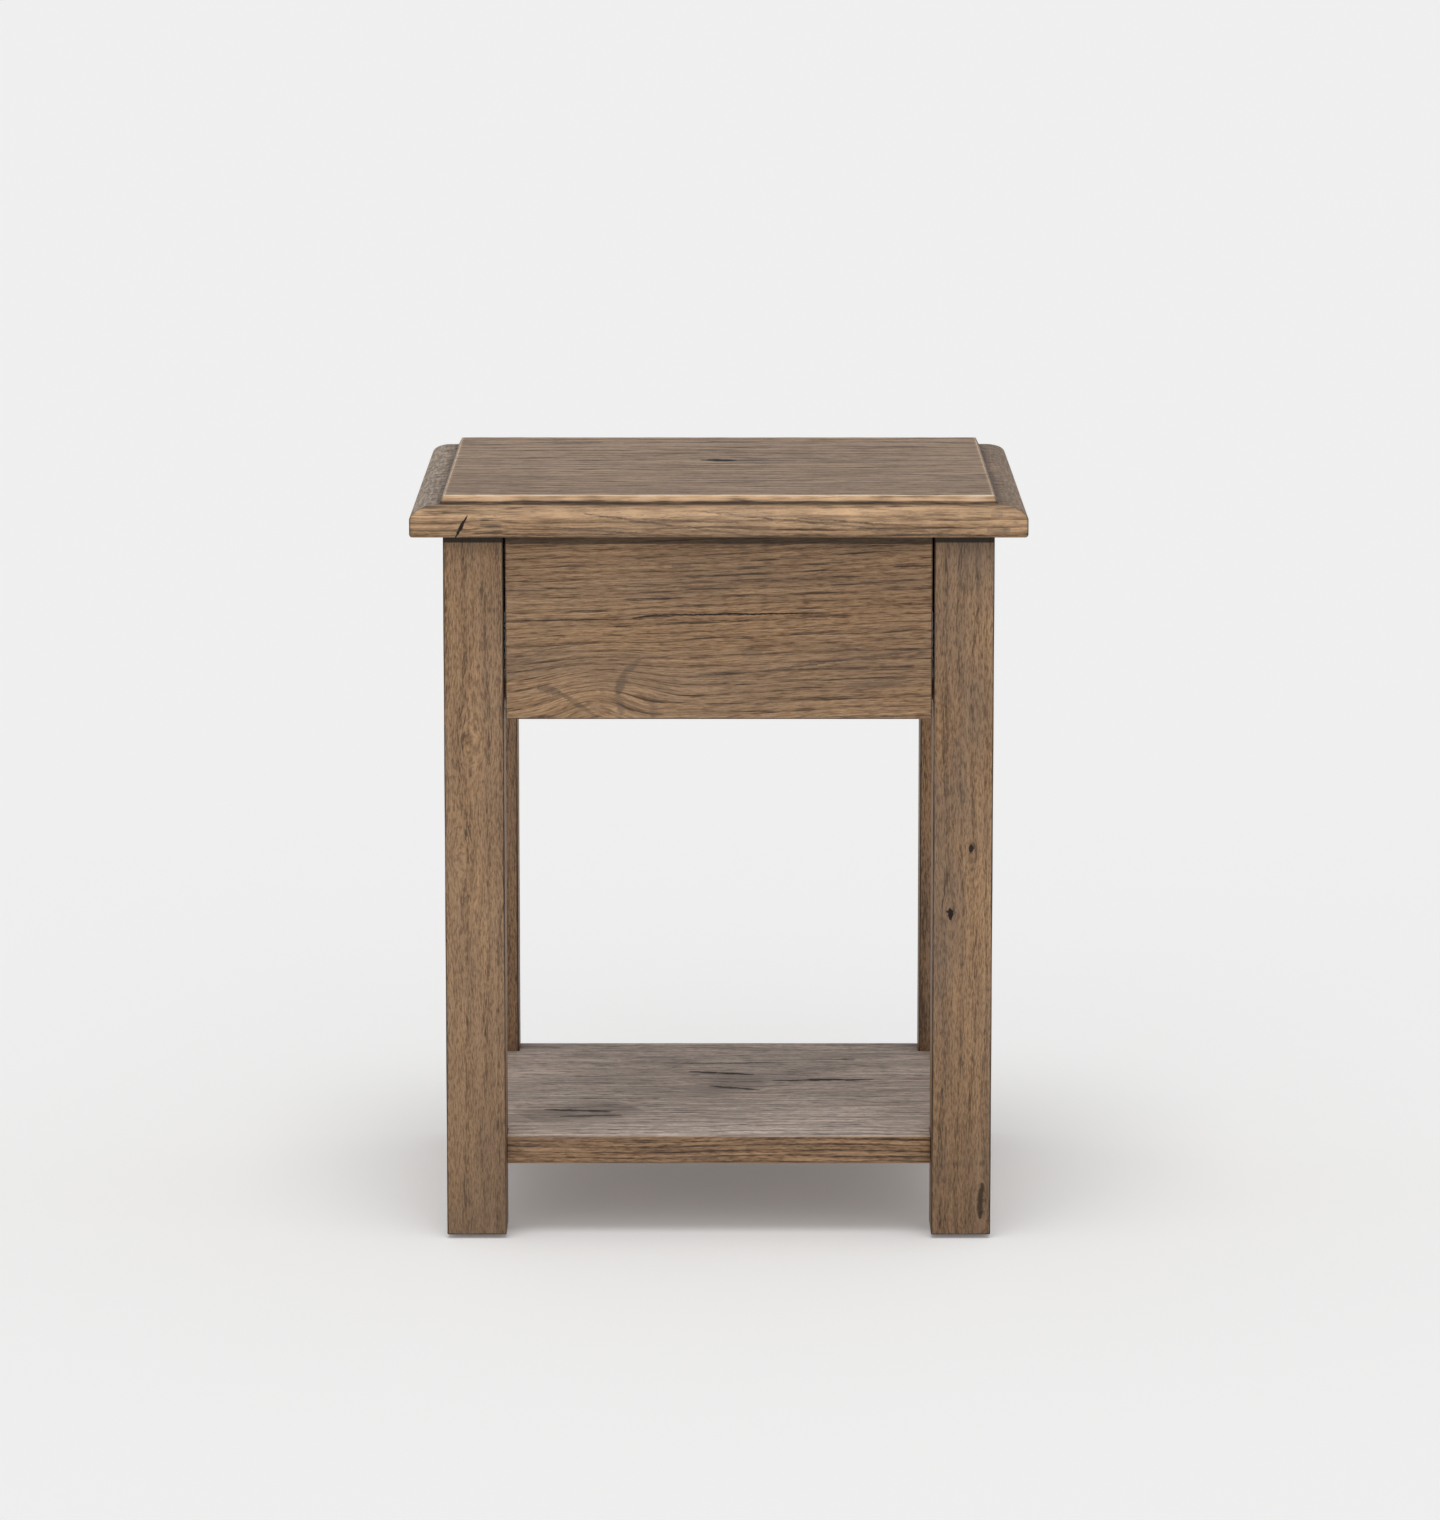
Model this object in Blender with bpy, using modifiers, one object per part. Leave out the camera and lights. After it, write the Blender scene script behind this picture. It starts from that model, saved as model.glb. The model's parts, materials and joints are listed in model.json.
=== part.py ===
# Side table with one drawer, in metres. The front faces -Y, the glides stand on z = 0,
# and x = y = 0 is the middle of the table. Left is -X.

import bpy
import bmesh
from math import cos, floor, pi, sin
from mathutils import Matrix, Vector

# Overall size
table_width = 0.560
table_depth = 0.510
table_height = 0.692

# Fits
touch_gap = 0.0003        # between pieces that rest on or against each other
socket_gap = 0.0003       # round a tenon, dowel, screw or tongue in its hole
tip_room = 0.0005         # past the end of a screw or dowel in its hole
tool_reach = 0.001        # of a cutter past the face it cuts from

# Top
top_thickness = 0.0355
top_overhang = 0.029      # past the legs' outer faces
field_border = 0.0305     # from the top's edge to the top of the step round the field
step_height = 0.0072
step_lean = 0.0040
nose_height = 0.0120      # of the rounded edge, which starts at the foot of the step
nose_segments = 8
bottom_round = 0.0035

# Legs and glides
leg_width = 0.055
leg_round = 0.0016
glide_radius = 0.010
glide_height = 0.003
glide_pin_radius = 0.0015
glide_pin_length = 0.014
glide_edge = 0.0011       # sloped off round the underside
glide_sides = 16
glide_hole_sides = 10
glide_pin_room = 0.0004   # round the pin in its hole

# Aprons and front rails
apron_thickness = 0.020
apron_setback = 0.004     # behind the legs' outer faces
apron_height = 0.170
apron_shoulder = 0.015    # above and below an apron's tenon
rail_depth = 0.022
top_rail_height = 0.022
bottom_rail_height = 0.018
bottom_rail_lift = 0.012  # above the lower edge of the drawer front
rail_shoulder = 0.004
tenon_cheek = 0.005       # each side of every tenon
tenon_length = 0.020

# Shelf
shelf_top_height = 0.093
shelf_thickness = 0.026
shelf_setback = 0.017     # behind the legs' outer faces, all round
shelf_round = 0.0012
dowel_radius = 0.004
dowel_length = 0.028
dowel_sides = 12

# Drawer front
front_gap = 0.0015        # to the legs and to the top
front_height = 0.169
front_thickness = 0.020
front_round = 0.0010
finger_cove_radius = 0.011
finger_cove_sides = 24

# Drawer box
box_wall = 0.012
box_bottom_gap = 0.004    # above the bottom rail
box_top_gap = 0.006       # below the top rail
box_bottom_thickness = 0.006
box_groove_depth = 0.005
box_groove_lift = 0.010   # of the bottom's groove above the box's lower edge
box_housing_depth = 0.004
box_back_inset = 0.010    # of the drawer back from the sides' rear ends
front_screw_spread = 0.72  # of the way from the middle to the box's inner corners
front_screw_levels = {"low": 0.24, "high": 0.78}  # of the box's height

# Ball-bearing slides, one each side, made in 50 mm steps
slide_thickness = 0.0127
slide_height = 0.045
slide_step = 0.050        # slides come in lengths of whole steps
step_tolerance = 0.000001
slide_rear_room = 0.015   # at least this, between the drawer box and the back apron
slide_front_inset = 0.0025  # behind the rear face of the drawer front
slide_drop = 0.014        # below the middle of the drawer box
slide_tail = 0.004        # from the slides' rear ends to those of the drawer sides
slide_sheet = 0.0012
outer_lip = 0.0014
outer_tip_gap = 0.0027    # from the outer member's lips to the drawer side
middle_tip_gap = 0.0023   # from the middle member's flanges to the drawer side
head_gap = 0.0007         # between a screw's head and the ball cage that passes it
ball_radius = 0.0016
ball_gap = 0.00025        # between a ball and the sheet on each side of it
balls_per_row = 4
cage_sheet = 0.0006
cage_gap = 0.0004         # between the outer cage and the sheet behind it
inner_cage_gap = 0.0012   # between the inner cage and the middle member
cage_share = 0.48         # of the slide's length
cage_grip = 0.0003        # how far a cage's edges reach into its balls
ball_sides = 8
ball_rings = 6

# Rails that carry the slides and the cleats that hold the top
runner_height = 0.050
cleat_size = 0.020
cleat_end_gap = 0.020
cleat_screw_inset = 0.030

# Screws
screw_sides = 10
slide_screw = {"head_radius": 0.0038, "head_height": 0.0013, "shank_radius": 0.0017}
wood_screw = {"head_radius": 0.0045, "head_height": 0.0022, "shank_radius": 0.0021}
screw_crown = {"radius": 0.62, "height": 0.86}  # where a head starts to curve down, as shares of it
screw_rim = 0.30          # height of a head's upright rim, as a share of the head's
screw_taper = 2.0         # length of the pointed tip, in shank radii
outer_screw_length = 0.0140
inner_screw_length = 0.0095
front_screw_length = 0.0240
top_screw_length = 0.0360
screw_end_inset = 0.013   # of a slide's front screw from the slide's end
screw_rear_inset = 0.055

# Sides along X and ends along Y, with the names their pieces take
sides = ((-1, "left"), (1, "right"))
ends = ((-1, "front"), (1, "back"))

# Places worked out from the sizes above
slab_bottom = table_height - top_thickness
frame_x = table_width / 2 - top_overhang
frame_y = table_depth / 2 - top_overhang
opening_x = frame_x - leg_width
opening_y = frame_y - leg_width
wood_top = slab_bottom - touch_gap
leg_bottom = glide_height + touch_gap
front_top = slab_bottom - front_gap
front_bottom = front_top - front_height
front_rear_y = -frame_y + front_thickness
rail_front_y = -opening_y - rail_depth
top_rail_bottom = wood_top - top_rail_height
bottom_rail_bottom = front_bottom + bottom_rail_lift
bottom_rail_top = bottom_rail_bottom + bottom_rail_height
box_low = bottom_rail_top + box_bottom_gap
box_high = top_rail_bottom - box_top_gap
box_outer_x = opening_x - slide_thickness - touch_gap
box_inner_x = box_outer_x - box_wall
box_front_y = front_rear_y + touch_gap
slide_y = front_rear_y + slide_front_inset
slide_z = (box_low + box_high) / 2 - slide_drop
apron_inner_y = frame_y - apron_setback - apron_thickness
slide_room = apron_inner_y - slide_rear_room - slide_y
slide_length = floor(slide_room / slide_step + step_tolerance) * slide_step
box_rear_y = slide_y + slide_length + slide_tail
race = 2 * (ball_radius + ball_gap)
middle_height = slide_height - 2 * (slide_sheet + race)
inner_height = middle_height - 2 * (slide_sheet + race)
panel_bottom = box_low + box_groove_lift + socket_gap
panel_top = panel_bottom + box_bottom_thickness
box_back_y = box_rear_y - box_back_inset

parts = bpy.data.collections.new("side_table")
tools = bpy.data.collections.new("cutters")


def start_scene():
    for thing in list(bpy.data.objects):
        bpy.data.objects.remove(thing, do_unlink=True)
    bpy.context.scene.collection.children.link(parts)
    bpy.context.scene.collection.children.link(tools)


def make_material(name, colour, roughness, metallic=0.0):
    material = bpy.data.materials.new(name)
    material.use_nodes = True
    shader = material.node_tree.nodes["Principled BSDF"]
    shader.inputs["Base Color"].default_value = (*colour, 1.0)
    shader.inputs["Roughness"].default_value = roughness
    shader.inputs["Metallic"].default_value = metallic
    return material


oak = {"colour": (0.235, 0.150, 0.092), "roughness": 0.62}
oak_grey = {"colour": (0.255, 0.190, 0.145), "roughness": 0.58}
box_wood = {"colour": (0.56, 0.42, 0.27), "roughness": 0.60}
plywood = {"colour": (0.60, 0.47, 0.31), "roughness": 0.65}
beech = {"colour": (0.62, 0.45, 0.29), "roughness": 0.60}
zinc_steel = {"colour": (0.62, 0.63, 0.64), "roughness": 0.34, "metallic": 1.0}
black_plastic = {"colour": (0.020, 0.020, 0.021), "roughness": 0.45}


def finish_part(name, mesh, finish, parent=None, collection=None):
    # Puts a mesh in the scene under its parent, with a material of its own
    part = bpy.data.objects.new(name, mesh)
    (collection or parts).objects.link(part)
    if finish:
        mesh.materials.append(make_material(name, **finish))
    part.parent = parent
    return part


def place(part, position):
    # World position, turned into one under the parent
    offset = part.parent.location if part.parent else Vector()
    part.location = Vector(position) - offset
    return part


def joint_empty(name, position):
    empty = bpy.data.objects.new(name, None)
    empty.empty_display_size = 0.03
    empty.location = position
    parts.objects.link(empty)
    return empty


def box_mesh(name, size):
    shape = bmesh.new()
    bmesh.ops.create_cube(shape, size=1.0)
    bmesh.ops.scale(shape, vec=size, verts=shape.verts)
    mesh = bpy.data.meshes.new(name)
    shape.to_mesh(mesh)
    shape.free()
    return mesh


def add_box(name, low, high, finish, parent=None, rounding=0.0, segments=2):
    # A block between two opposite corners
    size = Vector(high) - Vector(low)
    part = finish_part(name, box_mesh(name, size), finish, parent)
    if rounding:
        bevel = part.modifiers.new("Eased edges", "BEVEL")
        bevel.width = rounding
        bevel.segments = segments
    return place(part, (Vector(high) + Vector(low)) / 2)


def hide_tool(tool):
    tool.hide_render = True
    tool.display_type = "WIRE"


def cut_with(part, tool, label, operation="DIFFERENCE"):
    hide_tool(tool)
    boolean = part.modifiers.new(label, "BOOLEAN")
    boolean.operation = operation
    boolean.solver = "EXACT"
    boolean.object = tool


def cut_box(part, label, low, high):
    # Takes a block out of a part
    size = Vector(high) - Vector(low)
    name = part.name + "_" + label
    tool = finish_part(name, box_mesh(name, size), None, part.parent, tools)
    place(tool, (Vector(high) + Vector(low)) / 2)
    cut_with(part, tool, label)


def rod_mesh(name, radius, length, sides):
    # A rod round the local Z axis, its middle at the origin
    shape = bmesh.new()
    bmesh.ops.create_cone(
        shape, cap_ends=True, segments=sides, radius1=radius, radius2=radius, depth=length
    )
    mesh = bpy.data.meshes.new(name)
    shape.to_mesh(mesh)
    shape.free()
    return mesh


def aim(part, direction, local_axis=(0, 0, 1)):
    turn = Vector(local_axis).rotation_difference(Vector(direction))
    part.rotation_mode = "QUATERNION"
    part.rotation_quaternion = turn
    return part


def cut_rod(part, label, start, end, radius, sides=12):
    # Drills a round hole between two points
    start, end = Vector(start), Vector(end)
    name = part.name + "_" + label
    tool = finish_part(name, rod_mesh(name, radius, (end - start).length, sides), None, part.parent, tools)
    aim(place(tool, (start + end) / 2), end - start)
    cut_with(part, tool, label)


def add_turned(name, outline, steps, finish, parent=None):
    # Spins a radius and height outline, top to bottom, round the local Z axis
    mesh = bpy.data.meshes.new(name)
    points = [(radius, 0.0, height) for radius, height in outline]
    edges = [(index, index + 1) for index in range(len(points) - 1)]
    mesh.from_pydata(points, edges, [])
    part = finish_part(name, mesh, finish, parent)
    spin = part.modifiers.new("Turned", "SCREW")
    spin.steps = steps
    spin.render_steps = steps
    spin.use_merge_vertices = True
    spin.merge_threshold = 0.00001
    spin.use_smooth_shade = True
    return part


def add_screw(name, seat, direction, length, sizes, parent=None):
    # A pan-head screw: seat is the point under its head, direction is where its tip points
    head, height, shank = sizes["head_radius"], sizes["head_height"], sizes["shank_radius"]
    outline = [
        (0.0, height), (screw_crown["radius"] * head, screw_crown["height"] * height),
        (head, screw_rim * height), (head, 0.0), (shank, 0.0), (shank, screw_taper * shank - length),
        (0.0, -length),
    ]
    part = add_turned(name, outline, screw_sides, zinc_steel, parent)
    return aim(place(part, seat), direction, (0, 0, -1))


def drill_for(part, label, seat, direction, length, sizes):
    # A hole for a screw, from outside the part to just past the screw's tip
    seat, direction = Vector(seat), Vector(direction)
    start = seat - direction * tool_reach
    radius = sizes["shank_radius"] / cos(pi / screw_sides) + socket_gap
    cut_rod(part, label, start, seat + direction * (length + tip_room), radius, screw_sides)


def slab_outline():
    # Inset from the edge and height above the underside, from the bottom up to the field
    nose_width = field_border - step_lean
    nose_top = top_thickness - step_height
    points = []
    for index in range(4):
        angle = pi / 2 * index / 3
        points.append((bottom_round * (1 - sin(angle)), bottom_round * (1 - cos(angle))))
    for index in range(nose_segments + 1):
        angle = pi / 2 * index / nose_segments
        points.append((nose_width * (1 - cos(angle)), nose_top - nose_height * (1 - sin(angle))))
    points.append((field_border, top_thickness))
    return points


def set_ring(face, inset, height):
    # Moves a face's four corners to one step of the top's moulded edge
    for corner in face.verts:
        corner.co.x = (table_width / 2 - inset) * (1 if corner.co.x > 0 else -1)
        corner.co.y = (table_depth / 2 - inset) * (1 if corner.co.y > 0 else -1)
        corner.co.z = height


def make_top():
    # A block whose upper face is drawn up the moulded edge, step by step, to the raised field
    outline = slab_outline()
    shape = bmesh.new()
    bmesh.ops.create_cube(shape, size=1.0)
    faces = {round(face.normal.z): face for face in shape.faces}
    set_ring(faces[-1], *outline[0])
    set_ring(faces[1], *outline[1])
    face = faces[1]
    for inset, height in outline[2:]:
        face = bmesh.ops.extrude_discrete_faces(shape, faces=[face])["faces"][0]
        set_ring(face, inset, height)
    mesh = bpy.data.meshes.new("top_slab")
    shape.to_mesh(mesh)
    shape.free()
    return place(finish_part("top_slab", mesh, oak_grey, table_frame), (0, 0, slab_bottom))


def make_legs():
    for end, end_name in ends:
        for side, side_name in sides:
            name = "leg_" + end_name + "_" + side_name
            xs = sorted((side * opening_x, side * frame_x))
            ys = sorted((end * opening_y, end * frame_y))
            leg = add_box(
                name, (xs[0], ys[0], leg_bottom), (xs[1], ys[1], wood_top), oak, table_frame, leg_round
            )
            legs[(side, end)] = leg
            centre = Vector((sum(xs) / 2, sum(ys) / 2, leg_bottom))
            make_glide("glide_" + end_name + "_" + side_name, leg, centre)


def make_glide(name, leg, centre):
    # A plastic disc on a pin pushed up into the foot of a leg
    outline = [
        (0.0, glide_height + touch_gap + glide_pin_length),
        (glide_pin_radius, glide_height + glide_pin_length - glide_pin_radius),
        (glide_pin_radius, glide_height), (glide_radius, glide_height),
        (glide_radius, glide_edge), (glide_radius - glide_edge, 0.0), (0.0, 0.0),
    ]
    place(add_turned(name, outline, glide_sides, black_plastic, table_frame), (centre.x, centre.y, 0.0))
    start = centre - Vector((0, 0, tool_reach))
    end = centre + Vector((0, 0, glide_pin_length + 2 * glide_pin_room))
    cut_rod(leg, "glide_hole", start, end, glide_pin_radius + glide_pin_room, glide_hole_sides)


def add_tenoned_board(name, low, high, axis, shoulder):
    # A board along X (axis 0) or Y (axis 1) with a tenon on each end; its legs are mortised for it
    low, high = Vector(low), Vector(high)
    centre = (low + high) / 2
    mesh = box_mesh(name, high - low)
    shape = bmesh.new()
    shape.from_mesh(mesh)
    across = 1 - axis
    for end in (-1, 1):
        face = max(shape.faces, key=lambda item: end * item.calc_center_median()[axis])
        for reach in (0.0, tenon_length):
            drawn = bmesh.ops.extrude_discrete_faces(shape, faces=[face])
            face = drawn["faces"][0]
            for corner in face.verts:
                if reach == 0.0:
                    corner.co[across] -= tenon_cheek * (1 if corner.co[across] > 0 else -1)
                    corner.co.z -= shoulder * (1 if corner.co.z > 0 else -1)
                else:
                    corner.co[axis] += end * reach
    shape.to_mesh(mesh)
    shape.free()
    place(finish_part(name, mesh, oak, table_frame), centre)
    for end in (-1, 1):
        cut_mortise(name, low, high, axis, shoulder, end)


def cut_mortise(name, low, high, axis, shoulder, end):
    # The mortise a board's tenon sits in, socket_gap larger all round
    across = 1 - axis
    mouth = high[axis] if end > 0 else low[axis]
    bottom = mouth + end * (tenon_length + socket_gap)
    pocket_low, pocket_high = low.copy(), high.copy()
    pocket_low[across] += tenon_cheek - socket_gap
    pocket_high[across] -= tenon_cheek - socket_gap
    pocket_low.z += shoulder - socket_gap
    pocket_high.z -= shoulder - socket_gap
    pocket_low[axis] = min(mouth, bottom)
    pocket_high[axis] = max(mouth, bottom)
    side = end if axis == 0 else (1 if low.x > 0 else -1)
    front = end if axis == 1 else (1 if low.y > 0 else -1)
    cut_box(legs[(side, front)], "mortise_" + name, pocket_low, pocket_high)


def make_frame_boards():
    apron_low = wood_top - apron_height
    for side, side_name in sides:
        outer = side * (frame_x - apron_setback)
        xs = sorted((outer, outer - side * apron_thickness))
        span = opening_y - touch_gap
        add_tenoned_board(
            "apron_" + side_name, (xs[0], -span, apron_low), (xs[1], span, wood_top), 1, apron_shoulder
        )
    span = opening_x - touch_gap
    back = frame_y - apron_setback
    add_tenoned_board(
        "apron_back", (-span, apron_inner_y, apron_low), (span, back, wood_top), 0, apron_shoulder
    )
    add_tenoned_board(
        "front_top_rail", (-span, rail_front_y, top_rail_bottom), (span, -opening_y, wood_top),
        0, rail_shoulder
    )
    add_tenoned_board(
        "front_bottom_rail", (-span, rail_front_y, bottom_rail_bottom), (span, -opening_y, bottom_rail_top),
        0, rail_shoulder
    )


def make_side_blocks(top):
    # Inside each side apron: the rail that carries the slide, and the cleat that holds the top
    apron_face = frame_x - apron_setback - apron_thickness - touch_gap
    for side, side_name in sides:
        xs = sorted((side * opening_x, side * apron_face))
        span = opening_y - touch_gap
        runner = add_box(
            "runner_rail_" + side_name, (xs[0], -span, slide_z - runner_height / 2),
            (xs[1], span, slide_z + runner_height / 2), beech, table_frame
        )
        runners[side] = runner
        xs = sorted((side * apron_face, side * (apron_face - cleat_size)))
        reach = opening_y - cleat_end_gap
        cleat = add_box(
            "top_cleat_" + side_name, (xs[0], -reach, wood_top - cleat_size), (xs[1], reach, wood_top),
            beech, table_frame
        )
        for end, end_name in ends:
            seat = (sum(xs) / 2, end * (reach - cleat_screw_inset), wood_top - cleat_size - touch_gap)
            name = "top_screw_" + end_name + "_" + side_name
            add_screw(name, seat, (0, 0, 1), top_screw_length, wood_screw, table_frame)
            for part in (cleat, top):
                drill_for(part, "hole_" + name, seat, (0, 0, 1), top_screw_length, wood_screw)


def make_shelf():
    # A board notched round the four legs and dowelled to them from the sides
    low = (-frame_x + shelf_setback, -frame_y + shelf_setback, shelf_top_height - shelf_thickness)
    high = (frame_x - shelf_setback, frame_y - shelf_setback, shelf_top_height)
    shelf = add_box("shelf", low, high, oak_grey, table_frame, shelf_round, 1)
    height = shelf_top_height - shelf_thickness / 2
    for end, end_name in ends:
        for side, side_name in sides:
            corner = end_name + "_" + side_name
            xs = sorted((side * (opening_x - touch_gap), side * frame_x))
            ys = sorted((end * (opening_y - touch_gap), end * frame_y))
            cut_box(
                shelf, "notch_" + corner,
                (xs[0], ys[0], low[2] - tool_reach), (xs[1], ys[1], high[2] + tool_reach)
            )
            y = end * (frame_y - shelf_setback + opening_y) / 2
            face = Vector((side * (opening_x - touch_gap / 2), y, height))
            half = Vector((dowel_length / 2, 0, 0))
            dowel = rod_mesh("dowel", dowel_radius, dowel_length, dowel_sides)
            dowel.polygons.foreach_set("use_smooth", [len(item.vertices) == 4 for item in dowel.polygons])
            part = finish_part("shelf_dowel_" + corner, dowel, beech, table_frame)
            aim(place(part, face), (1, 0, 0))
            room = Vector((tip_room, 0, 0))
            hole = dowel_radius / cos(pi / dowel_sides) + socket_gap
            for board in (shelf, legs[(side, end)]):
                cut_rod(board, "dowel_hole_" + corner, face - half - room, face + half + room, hole)


def make_drawer_box():
    z = (box_low, box_high)
    tongue_x = box_inner_x + box_housing_depth - socket_gap
    front_back = box_front_y + box_wall
    drawer_front = add_box(
        "drawer_front", (-opening_x + front_gap, -frame_y, front_bottom),
        (opening_x - front_gap, front_rear_y, front_top), oak, drawer, front_round
    )
    cut_rod(
        drawer_front, "finger_cove", (-opening_x, front_rear_y, front_bottom),
        (opening_x, front_rear_y, front_bottom), finger_cove_radius, finger_cove_sides
    )
    box_front = add_box(
        "drawer_box_front", (-tongue_x, box_front_y, z[0]), (tongue_x, front_back, z[1]), box_wood, drawer
    )
    groove_low = box_low + box_groove_lift
    groove_high = panel_top + socket_gap
    cut_box(
        box_front, "bottom_groove", (-box_outer_x, front_back - box_groove_depth, groove_low),
        (box_outer_x, front_back + tool_reach, groove_high)
    )
    add_box(
        "drawer_back", (-tongue_x, box_back_y - box_wall, groove_high), (tongue_x, box_back_y, z[1]),
        box_wood, drawer
    )
    panel_x = box_inner_x + box_groove_depth - socket_gap
    add_box(
        "drawer_bottom", (-panel_x, front_back - box_groove_depth + socket_gap, panel_bottom),
        (panel_x, box_back_y, panel_top), plywood, drawer
    )
    for side, side_name in sides:
        xs = sorted((side * box_inner_x, side * box_outer_x))
        wall = add_box(
            "drawer_side_" + side_name, (xs[0], box_front_y, z[0]), (xs[1], box_rear_y, z[1]),
            box_wood, drawer
        )
        drawer_sides[side] = wall
        open_face = side * (box_inner_x - tool_reach)
        depth = sorted((open_face, side * (box_inner_x + box_housing_depth)))
        cut_box(
            wall, "front_housing", (depth[0], box_front_y - tool_reach, z[0] - tool_reach),
            (depth[1], front_back + socket_gap, z[1] + tool_reach)
        )
        cut_box(
            wall, "back_housing", (depth[0], box_back_y - box_wall - socket_gap, groove_high - socket_gap),
            (depth[1], box_back_y + socket_gap, z[1] + tool_reach)
        )
        depth = sorted((open_face, side * (box_inner_x + box_groove_depth)))
        cut_box(
            wall, "bottom_groove", (depth[0], box_front_y - tool_reach, groove_low),
            (depth[1], box_rear_y + tool_reach, groove_high)
        )
        for level_name, level in front_screw_levels.items():
            height = box_low + level * (box_high - box_low)
            seat = (side * box_inner_x * front_screw_spread, front_back + touch_gap, height)
            name = "front_screw_" + level_name + "_" + side_name
            add_screw(name, seat, (0, -1, 0), front_screw_length, wood_screw, drawer)
            for part in (box_front, drawer_front):
                drill_for(part, "hole_" + name, seat, (0, -1, 0), front_screw_length, wood_screw)


def sheet_channel(name, outline, rear_y, thickness, finish, parent):
    # Sheet metal bent to an outline of x and z points along its middle, running back from slide_y
    shape = bmesh.new()
    corners = [shape.verts.new((x, slide_y, z)) for x, z in outline]
    edges = [shape.edges.new(pair) for pair in zip(corners, corners[1:])]
    drawn = bmesh.ops.extrude_edge_only(shape, edges=edges)
    moved = [item for item in drawn["geom"] if isinstance(item, bmesh.types.BMVert)]
    bmesh.ops.translate(shape, vec=(0, rear_y - slide_y, 0), verts=moved)
    bmesh.ops.recalc_face_normals(shape, faces=shape.faces)
    centre = Vector((outline[1][0], (slide_y + rear_y) / 2, slide_z))
    bmesh.ops.translate(shape, vec=-centre, verts=shape.verts)
    mesh = bpy.data.meshes.new(name)
    shape.to_mesh(mesh)
    shape.free()
    part = place(finish_part(name, mesh, finish, parent), centre)
    sheet = part.modifiers.new("Sheet", "SOLIDIFY")
    sheet.thickness = thickness
    sheet.offset = 0.0
    sheet.use_even_offset = True
    return part


def channel_outline(web_x, tip_x, height, thickness, lip=0.0):
    # The middle line of a C: web at web_x, flanges reaching to tip_x, and lips turned in
    half = (height - thickness) / 2
    points = [(web_x, slide_z - half), (web_x, slide_z + half)]
    top = [(tip_x, slide_z + half)]
    bottom = [(tip_x, slide_z - half)]
    if lip:
        top.append((tip_x, slide_z + half - lip))
        bottom.append((tip_x, slide_z - half + lip))
    return bottom[::-1] + points + top


def make_slide(side, side_name):
    # Outer member on the table, middle member, inner member on the drawer, and two ball cages
    wall = opening_x - touch_gap
    sheet = slide_sheet
    rear = slide_y + slide_length
    outer_web = wall - sheet / 2
    outer_tip = box_outer_x + outer_tip_gap
    cage_room = touch_gap + slide_screw["head_height"] + head_gap + cage_sheet + cage_gap
    middle_web = wall - sheet - cage_room - sheet / 2
    middle_tip = box_outer_x + middle_tip_gap
    inner_web = box_outer_x + touch_gap + sheet / 2
    inner_cage_web = middle_web - (sheet + cage_sheet) / 2 - inner_cage_gap
    inner_tip = inner_cage_web - cage_sheet / 2 - head_gap
    outer = sheet_channel(
        "slide_outer_" + side_name,
        channel_outline(side * outer_web, side * (outer_tip + sheet / 2), slide_height, sheet, outer_lip),
        rear, sheet, zinc_steel, table_frame
    )
    sheet_channel(
        "slide_middle_" + side_name,
        channel_outline(side * middle_web, side * middle_tip, middle_height, sheet),
        rear, sheet, zinc_steel, middles[side]
    )
    inner = sheet_channel(
        "slide_inner_" + side_name,
        channel_outline(side * inner_web, side * inner_tip, inner_height, sheet),
        rear, sheet, zinc_steel, drawer
    )
    outer_balls_x = outer_tip + sheet + cage_gap + ball_radius
    make_cage(
        "ball_cage_outer_" + side_name, side, middle_web + (sheet + cage_sheet) / 2 + cage_gap,
        outer_balls_x, (middle_height + race) / 2, outer_cages[side]
    )
    inner_balls_x = (inner_web + middle_web) / 2
    make_cage(
        "ball_cage_inner_" + side_name, side, inner_cage_web, inner_balls_x,
        (inner_height + race) / 2, inner_cages[side]
    )
    for offset, end_name in ((screw_end_inset, "front"), (slide_length - screw_rear_inset, "back")):
        y = slide_y + offset
        seat = (side * (wall - sheet - touch_gap), y, slide_z)
        name = "outer_screw_" + end_name + "_" + side_name
        add_screw(name, seat, (side, 0, 0), outer_screw_length, slide_screw, table_frame)
        host = legs[(side, -1)] if end_name == "front" else runners[side]
        for part in (outer, host):
            drill_for(part, "hole_" + name, seat, (side, 0, 0), outer_screw_length, slide_screw)
        seat = (side * (inner_web + sheet / 2 + touch_gap), y, slide_z)
        name = "inner_screw_" + end_name + "_" + side_name
        add_screw(name, seat, (-side, 0, 0), inner_screw_length, slide_screw, drawer)
        for part in (inner, drawer_sides[side]):
            drill_for(part, "hole_" + name, seat, (-side, 0, 0), inner_screw_length, slide_screw)


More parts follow.
